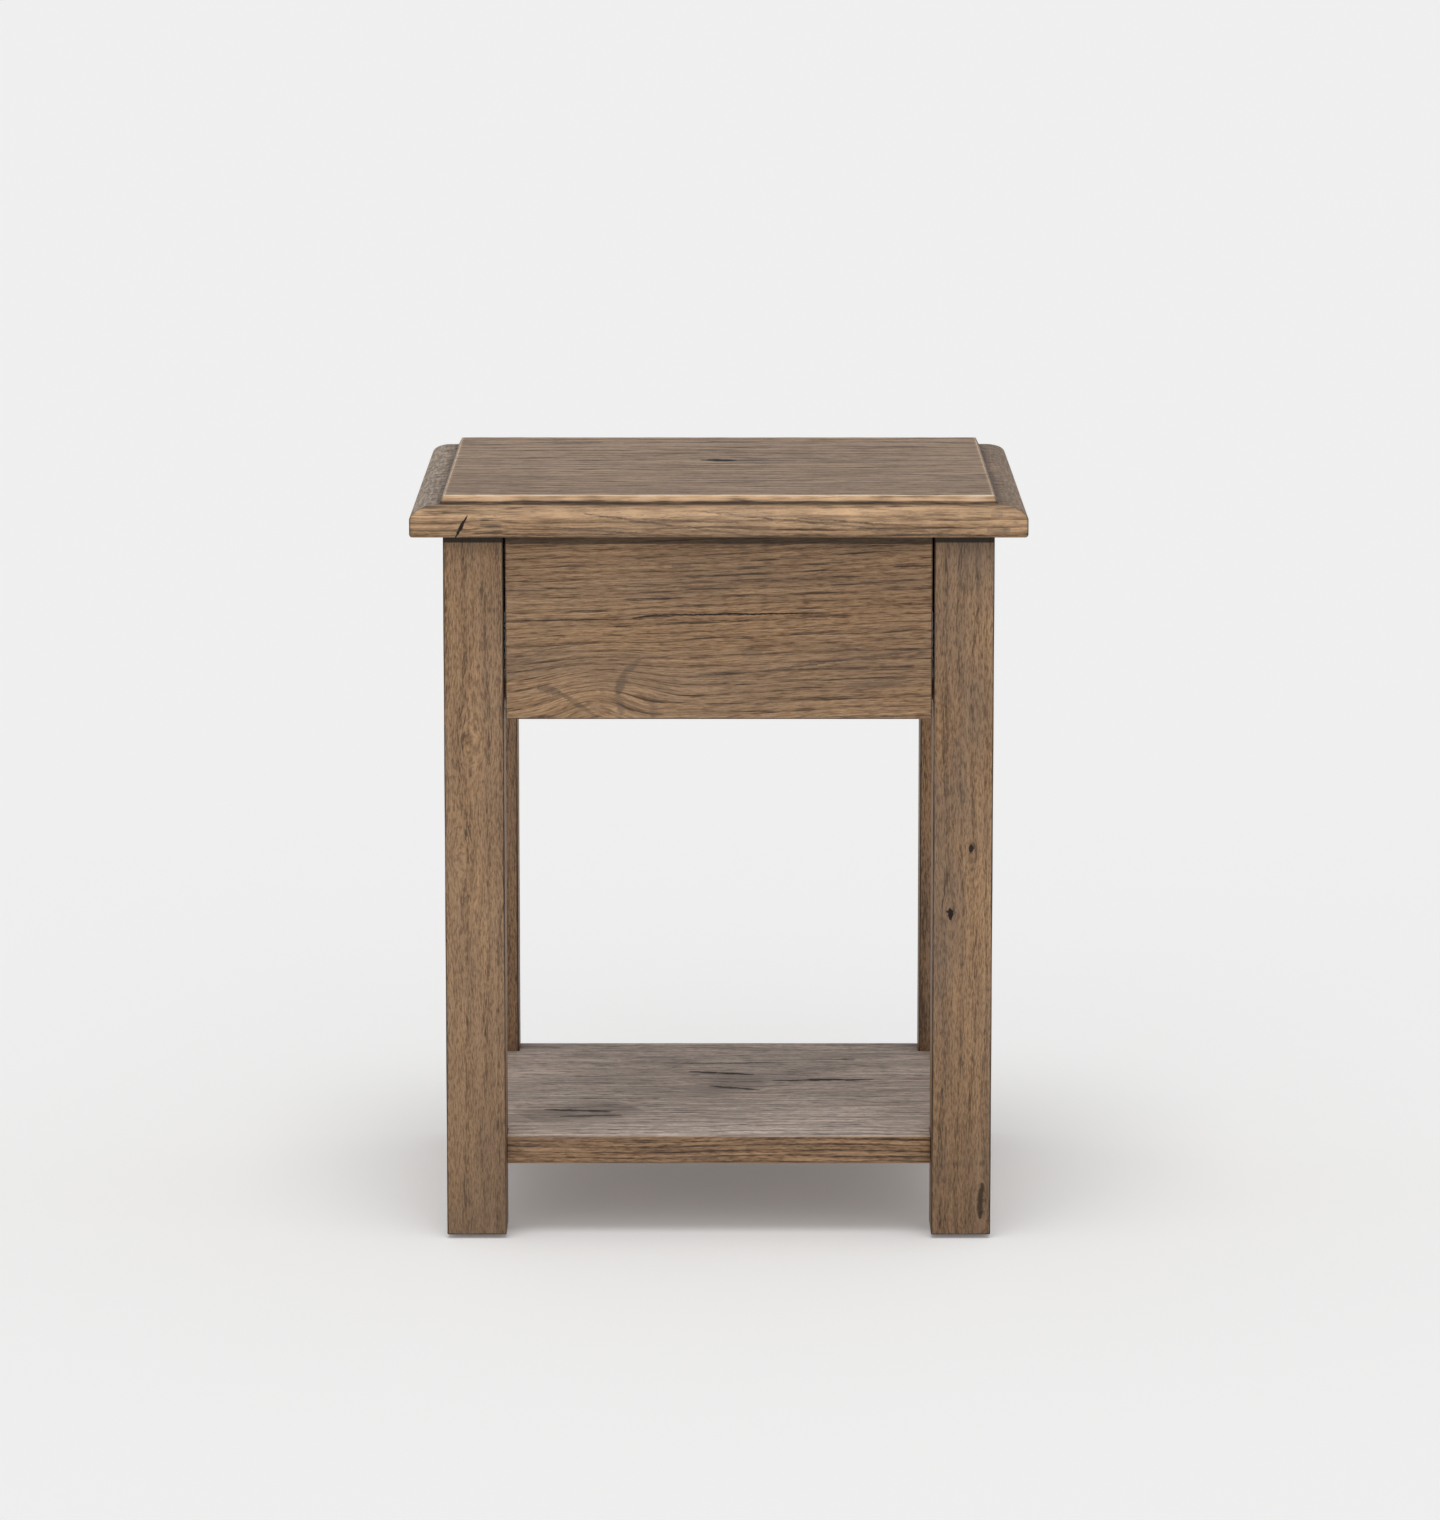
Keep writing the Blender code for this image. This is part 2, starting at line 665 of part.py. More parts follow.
def make_cage(name, side, web_x, ball_x, row_z, parent):
    # A thin C that holds one row of balls above the slide's middle and one below
    length = slide_length * cage_share
    start = slide_y + (slide_length - length) / 2
    tip = ball_x - ball_radius + cage_grip
    outline = channel_outline(side * web_x, side * tip, 2 * row_z + cage_sheet, cage_sheet)
    cage = sheet_channel(name, outline, slide_y + length, cage_sheet, zinc_steel, parent)
    centre = Vector((side * web_x, start + length / 2, slide_z))
    place(cage, centre)
    shape = bmesh.new()
    for row in (-1, 1):
        for number in range(balls_per_row):
            y = length * ((number + 0.5) / balls_per_row - 0.5)
            spot = Matrix.Translation((side * (ball_x - web_x), y, row * row_z))
            bmesh.ops.create_uvsphere(
                shape, u_segments=ball_sides, v_segments=ball_rings, radius=ball_radius, matrix=spot
            )
    mesh = bpy.data.meshes.new(name + "_balls")
    shape.to_mesh(mesh)
    shape.free()
    balls = place(finish_part(name + "_balls", mesh, None, parent, tools), centre)
    cut_with(cage, balls, "Balls", "UNION")


start_scene()
table_frame = joint_empty("table_frame", (0, 0, 0))
drawer = joint_empty("drawer", (0, slide_y, slide_z))
middles = {}
outer_cages = {}
inner_cages = {}
legs = {}
runners = {}
drawer_sides = {}
for side, side_name in sides:
    spot = (side * (opening_x - slide_thickness / 2), slide_y, slide_z)
    middles[side] = joint_empty("slide_middle_axis_" + side_name, spot)
    outer_cages[side] = joint_empty("outer_cage_axis_" + side_name, spot)
    inner_cages[side] = joint_empty("inner_cage_axis_" + side_name, spot)

make_legs()
make_frame_boards()
make_side_blocks(make_top())
make_shelf()
make_drawer_box()
for side, side_name in sides:
    make_slide(side, side_name)
print("side table:", len([item for item in parts.objects if item.type == "MESH"]), "pieces")
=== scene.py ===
import json
import math

import bmesh
import bpy
from mathutils import Matrix, Vector


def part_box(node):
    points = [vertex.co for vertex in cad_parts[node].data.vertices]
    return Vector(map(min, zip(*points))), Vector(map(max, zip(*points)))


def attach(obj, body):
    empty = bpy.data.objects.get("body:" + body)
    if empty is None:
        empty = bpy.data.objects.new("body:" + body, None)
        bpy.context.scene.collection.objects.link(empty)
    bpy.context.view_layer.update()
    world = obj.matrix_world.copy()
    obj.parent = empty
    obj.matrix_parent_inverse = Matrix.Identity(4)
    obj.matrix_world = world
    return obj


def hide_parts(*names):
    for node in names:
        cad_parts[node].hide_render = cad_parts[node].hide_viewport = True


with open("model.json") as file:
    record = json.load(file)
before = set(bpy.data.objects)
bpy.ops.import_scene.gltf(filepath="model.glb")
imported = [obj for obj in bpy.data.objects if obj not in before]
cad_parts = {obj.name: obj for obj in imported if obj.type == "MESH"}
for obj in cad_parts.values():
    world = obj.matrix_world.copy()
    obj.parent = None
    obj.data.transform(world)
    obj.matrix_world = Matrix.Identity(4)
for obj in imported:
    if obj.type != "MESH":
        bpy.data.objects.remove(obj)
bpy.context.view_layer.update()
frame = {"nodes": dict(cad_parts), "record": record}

nodes = frame["nodes"]
bodies = frame["record"]["behaviour"]["bodies"]
bodyOf = {node: body for body, members in bodies.items() for node in members}
print("frame loaded:", len(nodes), "nodes")

studio = {
    "lens": 158.06,
    "cameraPlace": (0.0011, -6.2395, 1.448),
    "tiltDown": 9.439,
    "floorColour": (0.90, 0.90, 0.90),
    "floorGlow": 0.12,
    "skyStrength": 0.47,
    "lamps": {  # strength, degrees above the floor, turn to one side, softness
        "keyLight": (0.98, 76.0, -6.0, 36.0),
        "frontLight": (0.52, 18.0, -4.0, 70.0),
    },
}

oakTones = [  # from the darkest grain to the palest wood
    (0.00, (0.058, 0.032, 0.018)),
    (0.28, (0.132, 0.071, 0.037)),
    (0.52, (0.262, 0.150, 0.077)),
    (0.74, (0.375, 0.224, 0.117)),
    (1.00, (0.530, 0.335, 0.190)),
]
boxTones = [
    (0.00, (0.30, 0.19, 0.10)), (0.28, (0.42, 0.28, 0.16)), (0.52, (0.55, 0.40, 0.245)),
    (0.74, (0.64, 0.49, 0.32)), (1.00, (0.74, 0.60, 0.42)),
]
beechTones = [
    (0.00, (0.26, 0.15, 0.08)), (0.28, (0.40, 0.25, 0.14)), (0.52, (0.52, 0.35, 0.21)),
    (0.74, (0.60, 0.42, 0.27)), (1.00, (0.68, 0.50, 0.33)),
]
inks = {  # the dark marks on the oak, some of them painted shade
    "pore": (0.048, 0.031, 0.022),
    "crack": (0.014, 0.009, 0.007),
    "stain": (0.075, 0.056, 0.046),
    "knot": (0.020, 0.013, 0.010),
    # painted shade: under the top's overhang, towards the legs' feet, and in the moulding's hollow
    "dust": (0.018, 0.011, 0.007),
    "foot": (0.05, 0.028, 0.015),
    "hollow": (0.052, 0.031, 0.020),
    "mitre": (0.050, 0.032, 0.022),
    "endPore": (0.05, 0.035, 0.026),
}


class NodeBench:
    # Short ways to lay out a material's nodes
    def __init__(self, name):
        self.material = bpy.data.materials.new(name)
        self.material.use_nodes = True
        self.tree = self.material.node_tree
        self.shader = self.tree.nodes["Principled BSDF"]

    def feed(self, socket, value):
        if value is None:
            return
        if isinstance(value, bpy.types.NodeSocket):
            self.tree.links.new(value, socket)
        elif isinstance(value, tuple) and len(value) == 3 and socket.type == "RGBA":
            socket.default_value = (*value, 1.0)
        else:
            socket.default_value = value

    def put(self, kind, values=(), **settings):
        node = self.tree.nodes.new(kind)
        for key, value in settings.items():
            setattr(node, key, value)
        for socket, value in zip(node.inputs, values):
            self.feed(socket, value)
        return node

    def calc(self, operation, *values, clamp=False):
        return self.put("ShaderNodeMath", values, operation=operation, use_clamp=clamp).outputs[0]

    def add(self, a, b):
        return self.calc("ADD", a, b)

    def sub(self, a, b):
        return self.calc("SUBTRACT", a, b)

    def mul(self, a, b):
        return self.calc("MULTIPLY", a, b)

    def most(self, a, b):
        return self.calc("MAXIMUM", a, b)

    def hypot(self, a, b):
        return self.calc("SQRT", self.add(self.mul(a, a), self.mul(b, b)))

    def step(self, value, low, high, toLow=0.0, toHigh=1.0):
        limits = (value, low, high, toLow, toHigh)
        return self.put("ShaderNodeMapRange", limits, interpolation_type="SMOOTHSTEP").outputs[0]

    def join(self, x, y, z):
        return self.put("ShaderNodeCombineXYZ", (x, y, z)).outputs[0]

    def split(self, vector):
        return self.put("ShaderNodeSeparateXYZ", (vector,)).outputs

    def noise(self, vector, detail=2.0, roughness=0.5, wanted=0):
        node = self.put("ShaderNodeTexNoise", (), noise_dimensions="3D")
        self.feed(node.inputs["Vector"], vector)
        node.inputs["Scale"].default_value = 1.0
        node.inputs["Detail"].default_value = detail
        node.inputs["Roughness"].default_value = roughness
        return node.outputs[wanted]

    def mix(self, share, a, b):
        node = self.tree.nodes.new("ShaderNodeMix")
        node.data_type = "RGBA"
        self.feed(node.inputs[0], share)
        self.feed(node.inputs[6], a)
        self.feed(node.inputs[7], b)
        return node.outputs[2]

    def ramp(self, value, stops):
        node = self.put("ShaderNodeValToRGB", (value,))
        band = node.color_ramp
        while len(band.elements) < len(stops):
            band.elements.new(0.5)
        for element, (place, colour) in zip(band.elements, stops):
            element.position = place
            element.color = (*colour, 1.0)
        return node.outputs[0]

    def place(self):
        return self.put("ShaderNodeTexCoord").outputs["Object"]

    def layer(self, name):
        return self.put("ShaderNodeAttribute", attribute_name=name).outputs["Fac"]

    def polish(self, colour, rough, height, strength, deep):
        self.feed(self.shader.inputs["Base Color"], colour)
        self.feed(self.shader.inputs["Roughness"], rough)
        bump = self.put("ShaderNodeBump")
        bump.inputs["Strength"].default_value = strength
        bump.inputs["Distance"].default_value = deep
        self.feed(bump.inputs["Height"], height)
        self.feed(self.shader.inputs["Normal"], bump.outputs[0])
        return self.material


def stretched(bench, along, across, through, scales, seed):
    # A place in the board, scaled for a texture that runs with the grain
    return bench.join(
        bench.add(bench.mul(along, scales[0]), seed * 3.7),
        bench.add(bench.mul(across, scales[1]), seed * 1.9),
        bench.add(bench.mul(through, scales[2]), seed * 2.3),
    )


def oakMaterial(name, look):
    # Solid oak: growth rings round a pith, streaks and pores that run with the grain, knots and cracks
    bench = NodeBench(name)
    x, y, z = bench.split(bench.place())
    straight = {"x": (x, y, z), "upright": (x, z, y), "y": (y, z, x),
                "yUpright": (y, z, x), "z": (z, x, y)}[look["grain"]]
    along, across, through = straight
    seed = look["seed"]
    weights = look["weights"]

    def figure(scales, shift, detail, roughness, wanted=0):
        place = stretched(bench, along, across, through, scales, seed + shift)
        return bench.noise(place, detail, roughness, wanted)

    knotCore = 0.0
    knotHalo = 0.0
    for spotAlong, spotAcross, reachAlong, reachAcross, pull, dark in look["knots"]:
        away = bench.sub(across, spotAcross)
        onward = bench.mul(bench.sub(along, spotAlong), 1.0 / reachAlong)
        far = bench.hypot(onward, bench.mul(away, 1.0 / reachAcross))
        swell = bench.calc("EXPONENT", bench.mul(bench.mul(far, far), -1.0))
        across = bench.sub(across, bench.mul(bench.mul(away, pull), swell))
        if dark:
            knotCore = bench.most(knotCore, bench.mul(bench.step(swell, 0.50, 0.95), dark))
            knotHalo = bench.most(knotHalo, bench.mul(bench.step(swell, 0.12, 0.75), dark))

    wander = figure((2.6, 11.0, 11.0), 0.0, 3.0, 0.5, 1)
    wanderX, wanderY = bench.split(wander)[:2]
    across = bench.add(across, bench.mul(bench.sub(wanderX, 0.5), look["sway"]))
    across = bench.add(across, bench.mul(along, look["slope"]))
    through = bench.add(through, bench.mul(bench.sub(wanderY, 0.5), look["sway"]))

    pithAcross, pithThrough = look["pith"]
    radius = bench.hypot(bench.sub(across, pithAcross), bench.sub(through, pithThrough))
    ripple = figure((7.0, 60.0, 60.0), 4.0, 2.0, 0.5)
    ring = bench.calc("FRACT", bench.add(bench.mul(radius, look["ringsPerMetre"]), bench.mul(ripple, 1.1)))
    band = bench.ramp(ring, [
        (0.0, (1.0,) * 3), (0.16, (0.90,) * 3), (0.34, (0.25,) * 3), (0.92, (0.08,) * 3), (1.0, (1.0,) * 3)
    ])

    broad = figure(look["broad"], 1.0, 5.0, 0.62)
    fleck = figure(look["fleck"], 2.0, 3.0, 0.55)
    fine = figure(look["fine"], 3.0, 2.0, 0.6)
    blotch = figure((3.2, 9.0, 9.0), 6.0, 3.0, 0.5)
    cloud = figure((4.5, 22.0, 22.0), 8.0, 4.0, 0.6)

    tone = look["tone"]
    for value, middle, weight in (
        (broad, 0.5, weights["broad"]), (band, 0.30, -weights["ring"]), (blotch, 0.5, weights["blotch"]),
        (fine, 0.5, weights["fine"]),
    ):
        tone = bench.add(tone, bench.mul(bench.sub(value, middle), weight))
    colour = bench.ramp(tone, look["tones"])

    grey = bench.calc("MULTIPLY_ADD", bench.step(cloud, 0.40, 0.66), look["greyShare"], look["greyBase"])
    if look["knots"]:
        grey = bench.most(grey, bench.mul(knotHalo, 0.75))
    for spotAlong, spotAcross, reachAlong, reachAcross, share in look["smudges"]:
        far = bench.hypot(
            bench.mul(bench.sub(straight[0], spotAlong), 1.0 / reachAlong),
            bench.mul(bench.sub(straight[1], spotAcross), 1.0 / reachAcross),
        )
        patch = bench.mul(bench.step(bench.add(far, bench.mul(broad, 1.6)), 1.9, 0.7), share)
        grey = bench.most(grey, patch)
    greyDark = tuple(0.62 * part for part in look["grey"])
    shaded = bench.mix(bench.step(fleck, 0.35, 0.6), look["grey"], greyDark)
    colour = bench.mix(grey, colour, bench.mix(bench.step(tone, 0.2, 0.9), shaded, look["grey"]))
    # painted sheen: the top face drawn paler and greyer than the rest of the board
    if "bleach" in look:
        axis, start, end, pale, share = look["bleach"]
        topSheenColour = bench.mix(bench.step(tone, 0.25, 1.0), tuple(0.50 * part for part in pale), pale)
        onFace = bench.step((x, y, z)[axis], start, end)
        colour = bench.mix(bench.mul(onFace, share), colour, topSheenColour)
    if "box" not in look:
        colour = dressMoulding(bench, (x, y, z), look, colour, broad, fleck)

    breaks = figure(look["breaks"], 7.0, 2.0, 0.5)
    band = bench.mul(band, bench.step(breaks, 0.40, 0.60, 0.30, 1.0))
    inBand = bench.calc("MULTIPLY_ADD", band, 0.74, 0.26)
    pores = bench.mul(bench.step(fleck, look["poreFrom"], look["poreFrom"] + 0.09), inBand)
    pores = bench.most(pores, bench.mul(bench.step(fine, 0.57, 0.68), 0.45))
    pores = bench.mul(pores, weights["pores"])
    if "box" not in look:
        pores = bench.mul(pores, bench.step(bench.layer("worn"), 0.55, 0.90, 1.0, 0.45))
    colour = bench.mix(pores, colour, look["pore"])
    depth = pores
    if look["knots"]:
        ink = bench.mul(knotCore, bench.step(broad, 0.62, 0.40, 0.45, 1.0))
        colour = bench.mix(ink, colour, inks["knot"])
        depth = bench.most(depth, bench.mul(ink, 0.8))
    for stroke in look["strokes"]:
        patchy = bench.step(fine, 0.34, 0.60, 0.25, 1.0)
        patchy = bench.mul(patchy, bench.step(broad, 0.34, 0.56, 0.35, 1.0))
        stain = bench.mul(crackMask(bench, (x, y, z), stroke, seed), patchy)
        colour = bench.mix(stain, colour, inks["stain"])
    for crack in look["cracks"]:
        gap = crackMask(bench, (x, y, z), crack, seed)
        colour = bench.mix(gap, colour, inks["crack"])
        depth = bench.most(depth, gap)

    # the arrises drawn in edgeColour: pale wear on the shelf, the drawer box and the hidden boards; on the
    # legs, the frame boards, the drawer front and the dowels a dark line that is partly stain and partly
    # painted shade
    if "box" in look:
        colour = bench.mix(edgeMask(bench, (x, y, z), look, broad), colour, look["edgeColour"])
    # painted shade: a dark line and a fainter fade just under the top's overhang, on the front face only
    if look["shadeFrom"]:
        below = bench.sub(z, look["shadeFrom"])
        dust = bench.step(below, *look["shadeLine"], 0.0, look["shade"])
        overhangShadeFade = bench.step(below, *look["shadeFilm"], 0.0, look["shade"] * 0.27)
        outside = bench.step(y, look["shadeDepth"], look["shadeDepth"] - 0.0006)
        colour = bench.mix(bench.mul(bench.most(dust, overhangShadeFade), outside), colour, inks["dust"])
    if look["footShade"]:
        colour = bench.mix(bench.step(z, 0.30, 0.0, 0.0, look["footShade"]), colour, inks["foot"])

    rough = bench.calc("MULTIPLY_ADD", broad, 0.20, look["roughness"] - 0.10)
    rough = bench.add(rough, bench.mul(depth, 0.2))
    bench.shader.inputs["Specular IOR Level"].default_value = look["gloss"]
    height = bench.add(bench.mul(depth, -1.0), bench.mul(broad, 0.5))
    return bench.polish(colour, rough, height, look["relief"], 0.0006)


def dressMoulding(bench, spot, look, colour, broad, fleck):
    # The worn parts of the moulded edge with painted highlight on them, the painted shade in its hollow and
    # along its underside, and the speckled end grain on its two sides, the left one drawn paler and greyer
    # as painted sheen
    worn = bench.layer("worn")
    # worn wood and painted highlight on the riser and the nose
    share = bench.mul(worn, bench.step(broad, 0.32, 0.60, 0.50, 1.0))
    colour = bench.mix(bench.mul(share, 0.86), colour, look["edgeColour"])
    # a pale rim on the field's arris: worn wood and painted highlight
    rubbedAndLitRim = bench.mul(bench.step(worn, 1.05, 1.60), bench.step(fleck, 0.62, 0.40, 0.25, 0.85))
    colour = bench.mix(rubbedAndLitRim, colour, look["rimColour"])
    # painted shade in the hollow at the step's foot and along the underside's rounded edge
    sunk = bench.layer("sunk")
    mouldingShadeMask = bench.mul(sunk, bench.step(fleck, 0.25, 0.6, 0.6, 1.0))
    colour = bench.mix(mouldingShadeMask, colour, inks["hollow"])
    x, y, z = spot
    farX, farY = bench.calc("ABSOLUTE", x), bench.calc("ABSOLUTE", y)
    pastMitre = bench.sub(bench.sub(farX, farY), look["mitre"])
    edgeFrom = look["edgeFrom"]
    onSide = bench.step(pastMitre, -0.0010, 0.0012)
    onSide = bench.mul(onSide, bench.step(farX, edgeFrom - 0.0007, edgeFrom + 0.0001))
    onEdge = bench.step(farX, edgeFrom, edgeFrom + 0.002)
    corner = bench.mul(bench.step(bench.calc("ABSOLUTE", pastMitre), 0.0016, 0.0005), onEdge)
    colour = bench.mix(bench.mul(corner, 0.60), colour, inks["mitre"])
    speckleWay = bench.join(bench.mul(x, 380.0), bench.mul(y, 40.0), bench.mul(z, 480.0))
    speckle = bench.noise(speckleWay, 4.0, 0.7)
    # the end grain's colour; its left end is drawn paler and greyer as painted sheen
    toRight = bench.calc("GREATER_THAN", x, 0.0)
    pale = bench.mix(toRight, look["endGrain"][0], look["endGrain"][1])
    ends = bench.mix(bench.step(speckle, 0.40, 0.62), bench.mix(0.72, pale, inks["endPore"]), pale)
    onCurve = bench.step(z, look["curveFrom"], look["curveFrom"] + 0.006, 0.35, 1.0)
    clear = bench.calc("SUBTRACT", 1.0, bench.mul(sunk, 0.6))
    endGrainAndSheenShare = bench.mul(clear, bench.mul(onCurve, look["endShare"]))
    return bench.mix(bench.mul(onSide, endGrainAndSheenShare), colour, ends)


def mark(plane, start, end, width, dark, **more):
    # A line to draw on the wood between two points of one plane
    return {"plane": plane, "start": start, "end": end, "width": width, "dark": dark, **more}


def crackMask(bench, spot, crack, seed):
    # A split between two points of one plane of the wood: tapered, ragged and dark
    planes = {"xy": (0, 1), "xz": (0, 2), "yz": (1, 2)}
    first, second = (spot[axis] for axis in planes[crack["plane"]])
    start, end = Vector(crack["start"]), Vector(crack["end"])
    run = end - start
    length = run.length
    run.normalize()
    offA = bench.sub(first, start.x)
    offB = bench.sub(second, start.y)
    share = bench.mul(bench.add(bench.mul(offA, run.x), bench.mul(offB, run.y)), 1.0 / length)
    sideways = bench.sub(bench.mul(offB, run.x), bench.mul(offA, run.y))
    wiggle = bench.noise(bench.join(bench.mul(share, length * 45.0), seed, length * 9.0), 4.0, 0.65)
    sideways = bench.add(sideways, bench.mul(bench.sub(wiggle, 0.5), crack.get("wiggle", 0.006)))
    middle = bench.calc("MULTIPLY_ADD", share, 2.0, -1.0)
    taper = bench.calc("SUBTRACT", 1.0, bench.mul(middle, middle), clamp=True)
    teeth = crack.get("teeth", 260.0)
    place = bench.join(bench.mul(share, length * teeth), bench.mul(sideways, teeth), seed + 5.0)
    ragged = bench.noise(place, 2.0)
    half = bench.mul(bench.mul(taper, crack["width"] / 2), bench.step(ragged, 0.35, 0.6, 0.45, 1.1))
    beyond = bench.sub(bench.calc("ABSOLUTE", sideways), half)
    split = bench.mul(bench.step(beyond, crack.get("soft", 0.0005), -0.0001), bench.step(taper, 0.0, 0.12))
    mask = bench.mul(split, crack["dark"])
    if "only" in crack:
        axis, low, high = crack["only"]
        inside = bench.mul(
            bench.calc("GREATER_THAN", spot[axis], low), bench.calc("LESS_THAN", spot[axis], high)
        )
        mask = bench.mul(mask, inside)
    return mask


def edgeMask(bench, spot, look, broad):
    # How near a point is to an arris of its board, reaching unevenly
    low, high = look["box"]
    gaps = []
    for axis in range(3):
        middle = (low[axis] + high[axis]) / 2
        half = (high[axis] - low[axis]) / 2
        gaps.append(bench.sub(half, bench.calc("ABSOLUTE", bench.sub(spot[axis], middle))))
    total = bench.add(bench.add(gaps[0], gaps[1]), gaps[2])
    near = bench.sub(total, bench.most(bench.most(gaps[0], gaps[1]), gaps[2]))
    reach = bench.calc("MULTIPLY_ADD", broad, look["edgeWidth"] * 1.8, look["edgeWidth"] * 0.1)
    return bench.mul(bench.step(near, reach, bench.mul(reach, 0.45)), look["edgeShare"])


plainWeights = {"broad": 0.85, "ring": 0.16, "blotch": 0.50, "fine": 1.45, "pores": 0.84}


def boardLook(node, **changes):
    # The usual finish of a board, with the changes one board needs
    look = {
        "grain": "x",
        "tones": oakTones,
        "pore": inks["pore"],
        "seed": 1.0,
        "sway": 0.010,
        "slope": 0.0,
        "pith": (0.10, -0.20),
        "ringsPerMetre": 210.0,
        "broad": (9.0, 235.0, 235.0),
        "fleck": (48.0, 980.0, 980.0),
        "fine": (135.0, 780.0, 780.0),
        "breaks": (20.0, 130.0, 130.0),
        "tone": 0.68,
        "weights": plainWeights,
        "grey": (0.190, 0.140, 0.108),
        "greyBase": 0.0,
        "greyShare": 0.30,
        "poreFrom": 0.49,
        "knots": [],
        "smudges": [],
        "strokes": [],
        "cracks": [],
        "shadeFrom": 0.0,
        "shade": 0.95,
        "shadeDepth": 1.0,
        "shadeLine": (-0.0089, -0.0070),  # from the board's top
        "shadeFilm": (-0.0260, -0.0060),
        "footShade": 0.0,
        "roughness": 0.56,
        "gloss": 0.30,
        "relief": 0.6,
        # a dark arris line, partly stain and partly painted shade
        "edgeColour": (0.040, 0.025, 0.017),
        "edgeWidth": 0.0015,
        "edgeShare": 0.8,
    }
    if node:
        look["box"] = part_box(node)
    look.update(changes)
    return look


def meshFrom(shape, name):
    mesh = bpy.data.meshes.new(name)
    shape.to_mesh(mesh)
    shape.free()
    return mesh


def pieceName(node):
    first, *rest = node.split("_")
    return first + "".join(word.title() for word in rest)


def addPiece(name, mesh, material, stands, smooth=True):
    # Puts a finished mesh in the scene in place of its CAD nodes
    piece = bpy.data.objects.new(name, mesh)
    bpy.context.scene.collection.objects.link(piece)
    if material:
        mesh.materials.clear()
        mesh.materials.append(material)
    if smooth:
        mesh.polygons.foreach_set("use_smooth", [True] * len(mesh.polygons))
    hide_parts(*stands)
    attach(piece, bodyOf[stands[0]])
    return piece


def flatFaces(piece):
    # Keeps broad faces flat and lets only the eased edges shade round
    steady = piece.modifiers.new("Steady normals", "WEIGHTED_NORMAL")
    steady.keep_sharp = True
    steady.weight = 60


def easedBlock(name, low, high, easing, steps=3, cuts=(6, 6, 6)):
    # A block with rounded edges, divided along its length so that its arrises can be dressed by hand
    shape = bmesh.new()
    bmesh.ops.create_cube(shape, size=1.0)
    low, high = Vector(low), Vector(high)
    bmesh.ops.scale(shape, vec=high - low, verts=shape.verts)
    bmesh.ops.translate(shape, vec=(low + high) / 2, verts=shape.verts)
    bmesh.ops.bevel(shape, geom=shape.edges[:], offset=easing, segments=steps, profile=0.5, affect="EDGES")
    for axis in range(3):
        span = high[axis] - low[axis] - 2 * easing
        for number in range(1, cuts[axis]):
            spot = Vector((0, 0, 0))
            spot[axis] = low[axis] + easing + span * number / cuts[axis]
            normal = Vector((0, 0, 0))
            normal[axis] = 1.0
            bmesh.ops.bisect_plane(
                shape, geom=shape.verts[:] + shape.edges[:] + shape.faces[:], plane_co=spot, plane_no=normal
            )
    return meshFrom(shape, name)


def dressArrises(mesh, low, high, easing, depth, seed):
    # Pushes the rounded edges in by uneven, tiny amounts, as a hand plane leaves them
    low, high = Vector(low), Vector(high)
    for vertex in mesh.vertices:
        place = vertex.co
        gaps = [min(place[axis] - low[axis], high[axis] - place[axis]) for axis in range(3)]
        atEdge = sum(1 for gap in gaps if gap < easing * 1.01)
        if atEdge < 2:
            continue
        wave = math.sin(place.x * 61 + seed) * math.sin(place.z * 47 + seed * 2)
        wave += math.sin(place.y * 83 + seed * 3)
        for axis in range(3):
            if gaps[axis] < easing * 1.01:
                inward = 1 if place[axis] < (low[axis] + high[axis]) / 2 else -1
                vertex.co[axis] += inward * depth * 0.25 * (1 + 0.5 * wave)


topStyle = {
    "fieldBorder": 0.0305,
    "stepHeight": 0.0072,
    "stepLean": 0.0040,
    "noseHeight": 0.0120,
    "bottomRound": 0.0035,
    "arrisEase": 0.0010,
    "hollowDepth": 0.0007,
    "hollowWidth": 0.0045,
    "unevenness": 0.00022,
    "riser": [  # share of the step's height, wear with painted highlight, and painted shade at the step's foot
        (0.08, 0.2, 0.95), (0.24, 0.4, 0.90), (0.36, 0.8, 0.30), (0.52, 0.95, 0.0), (0.80, 0.85, 0.0),
        (0.94, 0.8, 0.0),
    ],
    # painted shade along the underside's rounded edge
    "undersideShade": (0.45, 0.70, 0.60, 0.25, 0.05, 0.0),
    "cutsX": 112,
    "cutsY": 102,
}


